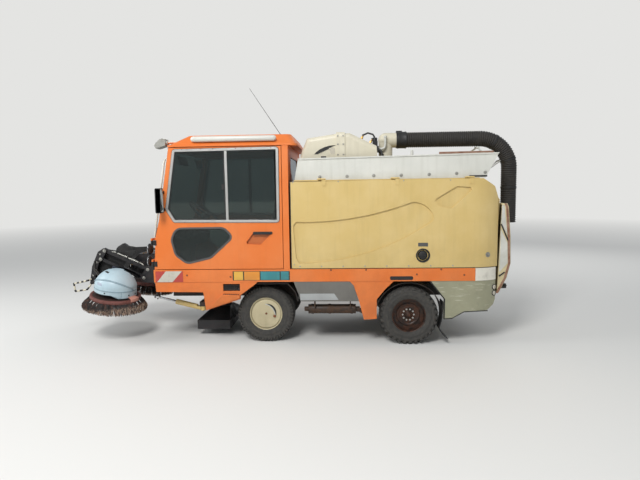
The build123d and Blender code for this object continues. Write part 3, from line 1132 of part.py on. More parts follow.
with BuildPart() as roof_fairing:
    for _, sign in SIDES:
        plate(FAIRING, sign * (FAIRING_OUT - FAIRING_T), sign * FAIRING_OUT)
        plate([(114, FAIRING_LOW - 12), (114, FAIRING_LOW), (2020, FAIRING_HIGH), (2012, FAIRING_HIGH - 12)],
              sign * (FAIRING_OUT - 34), sign * (FAIRING_OUT + 8))
        rod((CRADLE_X - 30, sign * (FAIRING_OUT - 12), FAIRING_HIGH - 16),
            (CRADLE_X, HOSE_Y + sign * 30, HOSE_Z - 92), 8)
    plate([(77, HOPPER_TOP), (114, FAIRING_LOW), (122, FAIRING_LOW), (85, HOPPER_TOP)],
          FAIRING_T - FAIRING_OUT, FAIRING_OUT - FAIRING_T)
    saddle_top = HOSE_Z - HOSE_R - FIT_GAP
    block((CRADLE_X - 15, HOSE_Y - 45, saddle_top - 20), (CRADLE_X + 15, HOSE_Y + 45, saddle_top))
save(roof_fairing, "roof_fairing")

# Fan housing on the roof plate with its clamping band, and the riser to the hose
FAN_Y = (-520.0, -120.0)
FAN_SIDE = [(130, HOPPER_TOP), (130, 1872), (196, 2025), (482, 2065), (615, 2069), (874, 1943), (890, HOPPER_TOP)]
BAND_X = (482.0, 566.0)
BAND_PROUD = 12.0
RISER_X = 985.0
RISER_R = 70.0
STUB_R = 75.0
STUB_END = 1092.0

with BuildPart() as fan_housing:
    plate(FAN_SIDE, *FAN_Y)
    fillet(fan_housing.edges().filter_by(GeomType.LINE).filter_by(lambda e: e.center().Z > 1900)
           .filter_by(lambda e: e.center().Y in FAN_Y), radius=45)
    block((BAND_X[0], FAN_Y[0] - BAND_PROUD, HOPPER_TOP), (BAND_X[1], FAN_Y[1] + BAND_PROUD, 2080))
    fillet(fan_housing.edges().filter_by(Axis.X).group_by(Axis.Z)[-1], radius=50)
    rod((RISER_X, HOSE_Y, HOPPER_TOP), (RISER_X, HOSE_Y, HOSE_Z), RISER_R)
    with Locations((RISER_X, HOSE_Y, HOSE_Z)):
        Sphere(STUB_R)
    rod((RISER_X, HOSE_Y, HOSE_Z), (STUB_END, HOSE_Y, HOSE_Z), STUB_R)
save(fan_housing, "fan_housing")

# Suction hose from the stub along the roof and down behind the tailgate, and its loose end
HOSE_X = 2240.0
HOSE_BEND = 300.0
HOSE_SPLIT = 1500.0
HOSE_END = 1163.0

with BuildPart() as suction_hose:
    with BuildLine(Plane.XZ.offset(-HOSE_Y)) as hose_path:
        FilletPolyline((STUB_END, HOSE_Z), (HOSE_X, HOSE_Z), (HOSE_X, HOSE_SPLIT), radius=HOSE_BEND)
    with BuildSketch(Plane(origin=(STUB_END, HOSE_Y, HOSE_Z), z_dir=(1, 0, 0))) as hose_ring:
        Circle(HOSE_R)
    sweep(sections=hose_ring.sketch, path=hose_path.line)
save(suction_hose, "suction_hose")

with BuildPart() as hose_tail:
    rod((HOSE_X, HOSE_Y, HOSE_END), (HOSE_X, HOSE_Y, HOSE_SPLIT), HOSE_R)
save(hose_tail, "hose_tail")

# Tipping cylinder between the rails, a barrel on the frame's pin and a rod under the hopper
TIP_BARREL_R = 35.0
TIP_ROD_R = 20.0
TIP_RING = (28.0, 42.0)
TIP_HALF = 20.0
tip_pin = Vector(CYL_PIN_X, 0, CYL_PIN_Z)
tip_eye = Vector(TIP_EYE[0], 0, TIP_EYE[1])
tip_line = (tip_eye - tip_pin).normalized()

with BuildPart() as tip_barrel:
    drum_y(CYL_PIN_X, CYL_PIN_Z, -TIP_HALF, TIP_HALF, TIP_BARREL_R)
    rod(tuple(tip_pin + tip_line * 20), tuple(tip_pin + tip_line * 330), TIP_BARREL_R)
    rod(tuple(tip_pin + tip_line * 56), tuple(tip_pin + tip_line * 340), TIP_ROD_R + FIT_GAP, mode=Mode.SUBTRACT)
    drum_y(CYL_PIN_X, CYL_PIN_Z, -2 * TIP_BARREL_R, 2 * TIP_BARREL_R, CYL_PIN_R + FIT_GAP, mode=Mode.SUBTRACT)
save(tip_barrel, "tip_barrel")

with BuildPart() as tip_rod:
    rod(tuple(tip_pin + tip_line * 66), tuple(tip_eye - tip_line * 34), TIP_ROD_R)
    drum_y(TIP_EYE[0], TIP_EYE[1], -TIP_HALF, TIP_HALF, TIP_RING[1])
    drum_y(TIP_EYE[0], TIP_EYE[1], -TIP_HALF - 1, TIP_HALF + 1, TIP_RING[0], mode=Mode.SUBTRACT)
save(tip_rod, "tip_rod")
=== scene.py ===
import math
import random

import bmesh
import bpy
from mathutils import Matrix, Vector


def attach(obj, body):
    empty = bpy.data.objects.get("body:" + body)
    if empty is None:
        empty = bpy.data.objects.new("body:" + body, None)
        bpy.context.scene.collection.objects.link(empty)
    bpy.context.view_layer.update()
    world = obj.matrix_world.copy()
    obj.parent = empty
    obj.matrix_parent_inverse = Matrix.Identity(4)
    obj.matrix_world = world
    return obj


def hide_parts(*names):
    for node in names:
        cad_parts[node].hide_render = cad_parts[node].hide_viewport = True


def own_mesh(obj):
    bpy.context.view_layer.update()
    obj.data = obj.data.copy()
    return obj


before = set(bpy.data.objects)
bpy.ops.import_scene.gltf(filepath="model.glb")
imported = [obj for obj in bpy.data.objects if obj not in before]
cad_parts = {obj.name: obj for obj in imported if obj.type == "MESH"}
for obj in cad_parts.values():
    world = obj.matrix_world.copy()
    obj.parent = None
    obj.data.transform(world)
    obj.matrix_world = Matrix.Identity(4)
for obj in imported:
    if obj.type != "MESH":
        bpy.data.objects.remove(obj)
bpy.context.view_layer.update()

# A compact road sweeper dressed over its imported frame. Sizes below are in millimetres, X back, left side -Y.
MM = 0.001
SIDES = (("left", -1), ("right", 1))
BODY_HALF = 650.0


# Camera: eye height and lens solved from the photograph
def aim_camera():
    yaw, pitch, roll = math.radians(2.8), math.radians(5.77), math.radians(0.8)
    look = Vector((-math.sin(yaw) * math.cos(pitch), math.cos(yaw) * math.cos(pitch), -math.sin(pitch)))
    level = look.cross(Vector((0, 0, 1))).normalized()
    upright = level.cross(look)
    right = level * math.cos(roll) - upright * math.sin(roll)
    up = upright * math.cos(roll) + level * math.sin(roll)
    camera = bpy.data.objects.new("camera", bpy.data.cameras.new("camera"))
    camera.data.lens = 28.4
    camera.data.sensor_width = 36.0
    camera.matrix_world = Matrix((right, up, -look)).transposed().to_4x4()
    camera.location = (0.555, -5.50, 1.53)
    bpy.context.scene.collection.objects.link(camera)
    bpy.context.scene.camera = camera


# Materials


def linear(code):
    """Linear colour from an sRGB hex code."""
    parts = [int(code[i:i + 2], 16) / 255 for i in (1, 3, 5)]
    parts = [p / 12.92 if p <= 0.04045 else ((p + 0.055) / 1.055) ** 2.4 for p in parts]
    return (*parts, 1.0)


def add(tree, kind, settings=(), links=()):
    """Add one node with its settings, each a name or input with a value, and its links."""
    node = tree.nodes.new(kind)
    for key, value in dict(settings).items():
        if isinstance(key, str) and hasattr(node, key):
            setattr(node, key, value)
        else:
            node.inputs[key].default_value = value
    for key, socket in dict(links).items():
        tree.links.new(socket, node.inputs[key])
    return node


def patches(tree, size, low, high, stretch=(1, 1, 1), detail=4.0, seed=0.0):
    """Mask from 0 to 1 of cloudy patches of one size in millimetres."""
    place = add(tree, "ShaderNodeTexCoord")
    shift = add(tree, "ShaderNodeMapping", {"Scale": stretch, "Location": (seed, seed * 0.7, seed * 1.3)},
                {"Vector": place.outputs["Object"]})
    cloud = add(tree, "ShaderNodeTexNoise", {"Scale": 1 / (size * MM), "Detail": detail, "Roughness": 0.6},
                {"Vector": shift.outputs["Vector"]})
    mask = add(tree, "ShaderNodeMapRange", {"From Min": low, "From Max": high},
               {"Value": cloud.outputs["Fac"]})
    return mask.outputs["Result"]


def height_mask(tree, low, high):
    """Mask that rises from 0 to 1 between two heights in millimetres."""
    place = add(tree, "ShaderNodeTexCoord")
    split = add(tree, "ShaderNodeSeparateXYZ", {}, {"Vector": place.outputs["Object"]})
    mask = add(tree, "ShaderNodeMapRange", {"From Min": low * MM, "From Max": high * MM},
               {"Value": split.outputs["Z"]})
    return mask.outputs["Result"]


def times(tree, one, two):
    """Product of two masks."""
    return add(tree, "ShaderNodeMath", {"operation": "MULTIPLY"}, {0: one, 1: two}).outputs[0]


def tint(tree, under, code, mask, share):
    """Lay a share of one colour over another through a mask."""
    if share != 1.0:
        mask = add(tree, "ShaderNodeMath", {"operation": "MULTIPLY", 1: share}, {0: mask}).outputs[0]
    mix = add(tree, "ShaderNodeMix", {"data_type": "RGBA", 7: linear(code)}, {0: mask, 6: under})
    return mix.outputs[2]


def layered(tree, shader, colour, *layers):
    """Lay colours over the base in order, each a hex code, a mask and a share, and paint with the result."""
    for code, mask, share in layers:
        colour = tint(tree, colour, code, mask, share)
    tree.links.new(colour, shader.inputs["Base Color"])


def surface(name, code, rough, metal=0.0, **extra):
    """A new material: its tree, shader and base colour socket."""
    material = bpy.data.materials.new(name)
    material.use_nodes = True
    tree = material.node_tree
    shader = tree.nodes["Principled BSDF"]
    shader.inputs["Roughness"].default_value = rough
    shader.inputs["Metallic"].default_value = metal
    for key, value in extra.items():
        shader.inputs[key.replace("_", " ")].default_value = value
    shader.inputs["Base Color"].default_value = linear(code)
    plain = add(tree, "ShaderNodeRGB")
    plain.outputs[0].default_value = linear(code)
    return material, tree, shader, plain.outputs[0]


def relief(tree, shader, height, depth):
    """Bump from a height socket, depth in millimetres."""
    bump = add(tree, "ShaderNodeBump", {"Strength": 1.0, "Distance": depth * MM}, {"Height": height})
    tree.links.new(bump.outputs["Normal"], shader.inputs["Normal"])


def roughen(tree, shader, mask, smooth, dull):
    """Roughness between two values through a mask."""
    span = add(tree, "ShaderNodeMapRange", {"To Min": smooth, "To Max": dull}, {"Value": mask})
    tree.links.new(span.outputs["Result"], shader.inputs["Roughness"])


FILM_FULL = 350.0                  # road film lies thickest below this height
FILM_NONE = 900.0                  # and has gone above this one
ENAMEL_ROUGH = 0.46
CHIP_RUST = "#6B4A33"


def enamel(name, code, faded, grime, grime_share):
    """Sprayed enamel on sheet steel: chalky fading, road film rising from below, small stone chips."""
    material, tree, shader, colour = surface(name, code, ENAMEL_ROUGH, Coat_Weight=0.05, Coat_Roughness=0.35)
    fade = patches(tree, 420, 0.38, 0.66)
    streaks = patches(tree, 60, 0.48, 0.72, stretch=(1, 1, 0.09), seed=3.1)
    film = times(tree, height_mask(tree, FILM_NONE, FILM_FULL), patches(tree, 150, 0.30, 0.62, seed=7.7))
    stones = times(tree, height_mask(tree, FILM_NONE + 100, FILM_FULL),
                   patches(tree, 9, 0.70, 0.74, detail=2.0, seed=1.9))
    layered(tree, shader, colour, (faded, fade, 0.5), (grime, streaks, 0.10), (grime, film, grime_share),
            (CHIP_RUST, stones, 0.8))
    roughen(tree, shader, fade, ENAMEL_ROUGH - 0.06, ENAMEL_ROUGH + 0.14)
    relief(tree, shader, patches(tree, 24, 0.2, 0.8, seed=5.0), 0.12)
    return material


def moulding(name, code, pale, grime, rough, low, high, grain=1.6, share=0.4):
    """Moulded plastic or gel-coated fibre: fine grain, bleached above and dusty below."""
    material, tree, shader, colour = surface(name, code, rough)
    bleach = patches(tree, 300, 0.40, 0.70, seed=2.0)
    streaks = patches(tree, 45, 0.50, 0.75, stretch=(1, 1, 0.08), seed=4.4)
    dust = times(tree, height_mask(tree, high, low), patches(tree, 120, 0.28, 0.66, seed=6.0))
    layered(tree, shader, colour, (pale, bleach, 0.5), (grime, streaks, 0.14), (grime, dust, share))
    roughen(tree, shader, bleach, rough - 0.05, rough + 0.12)
    relief(tree, shader, patches(tree, grain, 0.3, 0.7, detail=2.0), 0.05)
    return material


def belt_film(name, code, worn, dirt, rough=0.35):
    """Printed or reflective film on the belt: flat colour under a satin face, dust along its foot."""
    return moulding(name, code, worn, dirt, rough=rough, low=620, high=760)


def rusted(name, code, rust, deep, share=0.75, rough=0.7, metal=0.2):
    """Worn steel whose paint or skin has given way to rust: scabs and pits."""
    material, tree, shader, colour = surface(name, code, rough, metal)
    scabs = patches(tree, 55, 0.42, 0.60, detail=8.0)
    pits = patches(tree, 12, 0.55, 0.68, detail=5.0, seed=2.7)
    layered(tree, shader, colour, (rust, scabs, share), (deep, pits, 0.6))
    roughen(tree, shader, scabs, rough - 0.15, rough + 0.15)
    relief(tree, shader, scabs, 0.5)
    return material


def bare_metal(name, code, rough, streak=(1, 1, 1), size=3.0, stain="#5A5048", share=0.25):
    """Bare metal: drawn, brushed or plated, with stains in the hollows."""
    material, tree, shader, colour = surface(name, code, rough, 1.0)
    stains = patches(tree, 70, 0.50, 0.75, detail=6.0, seed=1.0)
    layered(tree, shader, colour, (stain, stains, share))
    lines = patches(tree, size, 0.3, 0.7, stretch=streak, detail=2.0)
    roughen(tree, shader, lines, rough, rough + 0.18)
    relief(tree, shader, lines, 0.03)
    return material


def rubber(name, code, dust, share, rough=0.75, size=35.0, depth=0.25):
    """Vulcanised rubber: greyed by bloom, dust caught in its skin."""
    material, tree, shader, colour = surface(name, code, rough)
    bloom = patches(tree, size, 0.35, 0.72, detail=7.0)
    layered(tree, shader, colour, (dust, bloom, share))
    roughen(tree, shader, bloom, rough - 0.12, rough + 0.12)
    relief(tree, shader, patches(tree, 4.0, 0.3, 0.7, seed=8.0), depth)
    return material


def lens(name, code, rough=0.08, weight=0.7):
    """Cast acrylic lens: prism lines some 5 mm apart behind a smooth face."""
    material, tree, shader, colour = surface(name, code, rough, Transmission_Weight=weight, IOR=1.49)
    lines = add(tree, "ShaderNodeTexWave", {"Scale": 60.0, "Distortion": 0.0},
                {"Vector": add(tree, "ShaderNodeTexCoord").outputs["Object"]})
    layered(tree, shader, colour, ("#4A3A30", lines.outputs["Fac"], 0.25))
    relief(tree, shader, lines.outputs["Fac"], 0.6)
    return material


def tinted_glass(name, code):
    """Toughened glass: green-grey tint, a light film of dust and wiped streaks."""
    material, tree, shader, colour = surface(name, code, 0.03, Transmission_Weight=0.93, IOR=1.45)
    haze = patches(tree, 90, 0.55, 0.85, stretch=(1, 1, 0.4), seed=9.0)
    layered(tree, shader, colour, ("#8C8678", haze, 0.15))
    roughen(tree, shader, haze, 0.02, 0.16)
    return material


def woven(name, code, light):
    """Woven polyester seat cloth: crossed threads drawn 16 to 18 mm apart so that they show, worn pale."""
    material, tree, shader, colour = surface(name, code, 0.9, Sheen_Weight=0.35, Sheen_Roughness=0.4)
    place = add(tree, "ShaderNodeTexCoord").outputs["Object"]
    across, along = (add(tree, "ShaderNodeTexWave", {"Scale": 1 / (8 * MM) / 6.28, "bands_direction": way},
                         {"Vector": place}) for way in ("Y", "DIAGONAL"))
    weave = times(tree, across.outputs["Fac"], along.outputs["Fac"])
    layered(tree, shader, colour, (light, weave, 0.5), ("#57524A", patches(tree, 110, 0.45, 0.7), 0.4))
    relief(tree, shader, weave, 0.8)
    return material


def bristle(name):
    """Steel and polypropylene bristle: dark at the root, rusty in streaks, pale worn tips."""
    material, tree, shader, colour = surface(name, "#1D1512", 0.7)
    rust = patches(tree, 26, 0.50, 0.64, stretch=(1, 1, 0.3))
    tips = times(tree, height_mask(tree, 372, 346),
                 patches(tree, 12, 0.44, 0.58, stretch=(1, 1, 0.25), seed=3.0))
    layered(tree, shader, colour, ("#6A3F2B", rust, 0.6), ("#B59A82", tips, 0.7))
    relief(tree, shader, patches(tree, 2.0, 0.3, 0.7), 0.3)
    return material


def painted_by_height(name, upper, lower, split, grime):
    """One moulding in two colours, parted at a height in millimetres."""
    material, tree, shader, colour = surface(name, lower, 0.52)
    scuffs = patches(tree, 40, 0.60, 0.68, stretch=(0.3, 1, 2.5), detail=6.0, seed=2.2)
    layered(tree, shader, colour, ("#86856E", patches(tree, 200, 0.4, 0.7), 0.5), ("#C9C4B2", scuffs, 0.5),
            (upper, height_mask(tree, split - 1, split + 1), 1.0),
            (grime, patches(tree, 90, 0.52, 0.75, seed=4.0), 0.3))
    relief(tree, shader, patches(tree, 30, 0.2, 0.8), 0.2)
    return material


def door_enamel(name):
    """Cab enamel; the mirror, arms and handle, outboard of the skin, are black moulded plastic."""
    material = enamel(name, "#DA7029", "#E08346", "#96552F", grime_share=0.35)
    tree = material.node_tree
    shader = tree.nodes["Principled BSDF"]
    colour = shader.inputs["Base Color"].links[0].from_socket
    place = add(tree, "ShaderNodeTexCoord")
    split = add(tree, "ShaderNodeSeparateXYZ", {}, {"Vector": place.outputs["Object"]})
    out = add(tree, "ShaderNodeMath", {"operation": "ABSOLUTE"}, {0: split.outputs["Y"]})
    proud = add(tree, "ShaderNodeMapRange",
                {"From Min": (BODY_HALF + 0.5) * MM, "From Max": (BODY_HALF + 1.2) * MM},
                {"Value": out.outputs[0]})
    layered(tree, shader, colour, ("#1C1B1A", proud.outputs["Result"], 1.0))
    return material


FINISH = {
    # two-pack enamel on steel, sun-faded towards salmon, brown road film low down
    "orange": enamel("cab_orange_enamel", "#DA7029", "#E08346", "#96552F", grime_share=0.4),
    "door": door_enamel("door_orange_enamel"),
    # gel coat on glass fibre gone yellow with age, rain streaks below the edges
    "cream": moulding("cream_gel_coat", "#CCB171", "#D8C189", "#8F7C4E", rough=0.42, grain=5.0, low=700,
                      high=1100, share=0.25),
    "gate": moulding("tailgate_enamel", "#CDBE92", "#DDD3B0", "#7E6A4C", rough=0.5, grain=5.0, low=450,
                     high=1300, share=0.5),
    # white enamel, grey-green with algae film
    "white": moulding("white_fairing_enamel", "#CCCCC4", "#DAD9D1", "#8E8B7A", rough=0.4, grain=6.0, low=1600,
                      high=1700, share=0.35),
    "fan": moulding("fan_gel_coat", "#CDC6B0", "#D8D2BE", "#8A816A", rough=0.42, grain=6.0, low=1700,
                    high=1900, share=0.3),
    # rotomoulded polyethylene hood, pale blue grey, matt
    "hood": moulding("hood_polyethylene", "#A9BFC8", "#BDCED3", "#6E7C80", rough=0.42, grain=2.0, low=380,
                     high=600, share=0.35),
    "bumper": painted_by_height("bumper_polyurethane", "#D9D5C8", "#96957C", 632, "#6E6A58"),
    "cover": moulding("cover_polypropylene", "#6B6964", "#7B7972", "#45423C", rough=0.55, low=420, high=700),
    "patch": moulding("paler_polypropylene_patch", "#9DA0A0", "#B0B2B0", "#6C6B66", rough=0.5, low=420, high=520),
    # frame paint: black chassis enamel dulled by dried mud
    "chassis": rusted("chassis_black_enamel", "#23211F", "#4A3A2E", "#15130F", share=0.5, rough=0.6,
                      metal=0.0),
    "black_steel": rusted("satin_black_steel", "#1E1E20", "#3A3230", "#121112", share=0.35, rough=0.45,
                          metal=0.0),
    "rust": rusted("rusted_steel", "#6E442F", "#8A563A", "#3A241A"),
    "exhaust": rusted("burnt_exhaust_steel", "#33271E", "#5A4230", "#1A1410", share=0.7, rough=0.65),
    "engine": rusted("cast_iron_block", "#2C2B2A", "#4A4038", "#1A1816", share=0.4, rough=0.6, metal=0.3),
    "plate": rusted("brush_plate_red_oxide", "#75463F", "#5C342B", "#33201B", share=0.6, rough=0.6,
                    metal=0.0),
    "rear_rim": rusted("oily_rim_steel", "#2A1F1A", "#5A3826", "#15100D", share=0.65, rough=0.5, metal=0.3),
    "front_rim": moulding("cream_wheel_enamel", "#BFB492", "#CBC2A4", "#75684E", rough=0.42, low=100,
                          high=420, share=0.45),
    "galvanised": bare_metal("zinc_sheet", "#8F918E", 0.4, size=14.0, stain="#6E6C66"),
    "aluminium": bare_metal("anodised_aluminium", "#C9C8C4", 0.32, streak=(0.05, 1, 1), stain="#8D8A82"),
    "chrome": bare_metal("hard_chrome", "#C8C9CA", 0.12, size=20.0, stain="#8A8680", share=0.15),
    "brass": bare_metal("machined_brass", "#B08A4A", 0.35, stain="#5C4426"),
    "tyre": rubber("tyre_tread_compound", "#2E2D2B", "#5C5851", size=30.0, share=0.45),
    "gasket": rubber("black_gasket_rubber", "#1A1A1A", "#3C3A37", rough=0.6, share=0.3),
    "hose": rubber("ribbed_hose_rubber", "#242220", "#4B463E", size=60.0, share=0.4),
    "plastic": rubber("black_moulded_nylon", "#1B1B1B", "#353432", rough=0.5, share=0.3, depth=0.1),
    "interior": rubber("cab_lining_vinyl", "#26262A", "#3A3A3C", rough=0.6, share=0.3, depth=0.1),
    "glass": tinted_glass("tinted_safety_glass", "#6F7D7A"),
    "clear": lens("clear_lamp_lens", "#E8ECEE"),
    "amber": lens("amber_lamp_lens", "#D2701C", weight=0.35),
    "red": lens("red_lamp_lens", "#A01818", weight=0.3),
    "mirror": bare_metal("silvered_mirror", "#D8DCDC", 0.03, size=40.0, share=0.05),
    "cloth": woven("seat_cloth", "#2B2C33", "#43454E"),
    "bristle": bristle("brush_bristle"),
    # zinc-plated fasteners, link guard, edge rubbers, tape on the guard hoop, and shades of worn parts; the
    # darker hood rib and the darker recess floor among them are painted shade
    "zinc": bare_metal("zinc_plate", "#A8A7A0", 0.4, size=6.0, stain="#6A5A48", share=0.4),
    "guard": rubber("navy_guard_polymer", "#2A3040", "#4A4C54", rough=0.5, share=0.3, depth=0.1),
    "trim": rubber("grey_edge_rubber", "#4A4A4A", "#66645E", rough=0.6, share=0.35, depth=0.1),
    "tape": moulding("cream_hoop_tape", "#D9D2BC", "#E2DCC8", "#8A7C62", rough=0.45, low=420, high=700),
    "rust_dark": rusted("oily_brush_plate", "#33231F", "#4C332A", "#1A1210", share=0.5),
    "shoe": moulding("faded_salmon_plastic", "#C98A78", "#D6A090", "#7A4E42", rough=0.5, low=380, high=600),
    # hood ribs in a darker blue than the hood: painted shade lines along the ridge, bead and ribs
    "hood_rib_shade": moulding("hood_rib_painted_shade", "#8298A2", "#94A8B0", "#5E6C70", rough=0.45, low=380, high=600,
                          share=0.3),
    "field": moulding("grey_hood_field", "#98A1B0", "#A6AEBA", "#7A828C", rough=0.4, low=380, high=600,
                      share=0.2),
    # darker orange for the door handle's recess floor: painted shade inside the recess, with some dirt
    "recess": enamel("recess_orange_shade", "#B5602C", "#C0703A", "#7A4426", grime_share=0.3),
    "pearl": lens("pearl_white_lens", "#DDD6C4", rough=0.2, weight=0.2),
    "rust_pale": rusted("flaking_primer_steel", "#9C7A66", "#7E4E38", "#4A2E22", share=0.7),
    # retroreflective film and printed film, flat colours under a satin face
    "film_red": belt_film("red_reflective_film", "#AE3A32", "#BC5248", "#6C3A30", 0.3),
    "film_white": belt_film("white_reflective_film", "#BDB9AC", "#CDCABE", "#8A8272", 0.3),
    "film_black": belt_film("black_printed_film", "#23261F", "#34362E", "#4A4436"),
    "film_yellow": belt_film("yellow_printed_film", "#D8A63A", "#DDB45A", "#8A6A34"),
    "film_amber": belt_film("amber_printed_film", "#D98A2E", "#DE9C4A", "#8A5A2A"),
    "film_teal": belt_film("teal_printed_film", "#2F7F86", "#4C8F92", "#3A5856"),
}

NODE_FINISH = {
    "chassis_frame": "chassis", "axles": "chassis", "knuckle": "chassis", "tie_rod": "chassis",
    "rim_front": "front_rim", "rim_rear": "rear_rim", "engine_block": "engine", "suction_duct": "galvanised",
    "nozzle": "black_steel", "cab_floor": "interior", "cab_rear_wall": "orange", "cab_frame": "orange",
    "cab_roof": "orange", "cab_nose": "orange", "cab_glass": "glass", "dashboard": "interior",
    "side_panels": "orange", "side_covers": "cover", "muffler": "exhaust", "rear_bumper": "bumper",
    "front_carrier": "black_steel", "swing_bracket": "black_steel", "lift_arm": "black_steel",
    "brush_head": "black_steel", "brush_hood": "hood", "brush_left": "bristle", "brush_right": "bristle",
    "swing_barrel": "cream", "swing_ram": "chrome", "cab_fittings": "white", "door_glass": "glass",
    "door_left": "door", "door_right": "door", "hopper_body": "cream", "tailgate": "gate",
    "cladding": "cream", "roof_fairing": "white", "fan_housing": "fan", "suction_hose": "hose",
    "hose_tail": "hose", "tip_barrel": "black_steel", "tip_rod": "chrome", "tyre": "tyre",
    "seat_cushions": "cloth",
}


def finish_cad_nodes():
    for name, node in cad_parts.items():
        key = max((k for k in NODE_FINISH if name.startswith(k)), key=len)
        node.data.materials.clear()
        node.data.materials.append(FINISH[NODE_FINISH[key]])


# Shapes: a form gathers vertices in millimetres and faces, and is then fitted to a body


class Form:
    """Vertices and faces of one piece before it is fitted."""

    def __init__(self):
        self.points = []
        self.faces = []

    def grow(self, points, faces):
        base = len(self.points)
        self.points += [tuple(p) for p in points]
        self.faces += [tuple(base + i for i in face) for face in faces]
        return self

    def rings(self, rings, joined=False):
        """Skin over rings of as many points each; the ends are capped unless the last joins the first."""
        count = len(rings[0])
        faces = []
        for k in range(len(rings) if joined else len(rings) - 1):
            after = (k + 1) % len(rings)
            for i in range(count):
                j = (i + 1) % count
                faces.append((k * count + i, k * count + j, after * count + j, after * count + i))
        if not joined:
            faces.append(tuple(range(count))[::-1])
            faces.append(tuple((len(rings) - 1) * count + i for i in range(count)))
        return self.grow([p for ring in rings for p in ring], faces)

    def block(self, low, high):
        (x0, y0, z0), (x1, y1, z1) = low, high
        ring = [(x0, y0), (x1, y0), (x1, y1), (x0, y1)]
        return self.rings([[(x, y, z0) for x, y in ring], [(x, y, z1) for x, y in ring]])

    def side_plate(self, outline, y_one, y_two):
        """Plate between two Y planes with an outline in X and Z."""
        return self.rings([[(x, y_one, z) for x, z in outline], [(x, y_two, z) for x, z in outline]])

    def bar(self, points, radius, sides=10):
        """Round bar along a path; radius may be one number or one for each point."""
        points = [Vector(p) for p in points]
        radii = radius if isinstance(radius, (list, tuple)) else [radius] * len(points)
        rings = []
        normal = None
        for i, point in enumerate(points):
            ahead = points[min(i + 1, len(points) - 1)] - points[max(i - 1, 0)]
            ahead.normalize()
            if normal is None:
                normal = ahead.orthogonal().normalized()
            normal = (normal - ahead * normal.dot(ahead)).normalized()
            side = ahead.cross(normal)
            rings.append([point + (normal * math.cos(a) + side * math.sin(a)) * radii[i]
                          for a in (2 * math.pi * k / sides for k in range(sides))])
        return self.rings(rings)

    def turned(self, profile, origin, axis, steps, toward=None):
        """Turn a profile of radius and height about an axis; radius 0.01 stands for the axis itself."""
        axis = Vector(axis).normalized()
        out = Vector(toward) if toward else axis.orthogonal()
        out = (out - axis * out.dot(axis)).normalized()
        side = axis.cross(out)
        origin = Vector(origin)
        rings = []
        for k in range(steps):
            angle = math.radians(360.0 * k / steps)
            ray = out * math.cos(angle) + side * math.sin(angle)
            rings.append([origin + ray * r + axis * h for r, h in profile])
        return self.rings(rings, joined=True)


def offset_outline(outline, grow):
    """Outline with each side moved outward; the outline may run either way round."""
    area = sum(a[0] * b[1] - b[0] * a[1] for a, b in zip(outline, outline[1:] + outline[:1]))
    way = 1 if area > 0 else -1
    moved = []
    count = len(outline)
    for i in range(count):
        before, here, after = (Vector(outline[j % count]) for j in (i - 1, i, i + 1))
        one = (here - before).normalized()
        two = (after - here).normalized()
        n_one = Vector((one.y, -one.x)) * way
        n_two = Vector((two.y, -two.x)) * way
        middle = n_one + n_two
        moved.append(tuple(here + middle * (grow / max(n_one.dot(middle), 0.2))))
    return moved


def soften(outline, radii, steps):
    """Outline with each corner turned into an arc of its radius."""
    count = len(outline)
    radii = radii if isinstance(radii, (list, tuple)) else [radii] * count
    points = []
    for i in range(count):
        before, here, after = (Vector(outline[j % count]) for j in (i - 1, i, i + 1))
        back, ahead = (before - here), (after - here)
        reach = min(back.length, ahead.length) * 0.6
        half = back.angle(ahead) / 2
        radius = min(radii[i], reach * math.tan(half))
        run = radius / math.tan(half)
        start, end = here + back.normalized() * run, here + ahead.normalized() * run
        centre = here + (back.normalized() + ahead.normalized()).normalized() * (radius / math.sin(half))
        v_start, v_end = start - centre, end - centre
        turn = v_start.angle_signed(v_end)
        for k in range(steps + 1):
            angle = -turn * k / steps
            points.append((centre.x + v_start.x * math.cos(angle) - v_start.y * math.sin(angle),
                           centre.y + v_start.x * math.sin(angle) + v_start.y * math.cos(angle)))
    return points


def fit(name, form, body, finish, bevel=0.0, smooth=40.0, segments=2):
    """Make the form a piece on a body, in metres, with its edges broken by a bevel in millimetres."""
    mesh = bpy.data.meshes.new(name)
    mesh.from_pydata([tuple(c * MM for c in p) for p in form.points], [], form.faces)
    shape = bmesh.new()
    shape.from_mesh(mesh)
    bmesh.ops.recalc_face_normals(shape, faces=shape.faces)
    for face in shape.faces:
        face.smooth = True
    for edge in shape.edges:
        edge.smooth = edge.calc_face_angle(math.pi) < math.radians(smooth)
    shape.to_mesh(mesh)
    shape.free()
    mesh.materials.append(FINISH[finish])
    piece = bpy.data.objects.new(name, mesh)
    bpy.context.scene.collection.objects.link(piece)
    if bevel:
        edges = piece.modifiers.new("broken_edges", "BEVEL")
        edges.width = bevel * MM
        edges.segments = segments
        edges.limit_method = "ANGLE"
        edges.angle_limit = math.radians(35)
    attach(piece, body)
    return piece


# Wheels
WHEELS = [(f"{end}_{side}", x, sign, face, depth, f"wheel_{end}_{side}")
          for end, x, face, depth in (("front", -242.0, 550.0, 34.0), ("rear", 1176.0, 640.0, 70.0))
          for side, sign in SIDES]
TYRE_R = 285.0
TYRE_W = 165.0
AXLE_Z = 285.0
SHOULDER_DROP = 12


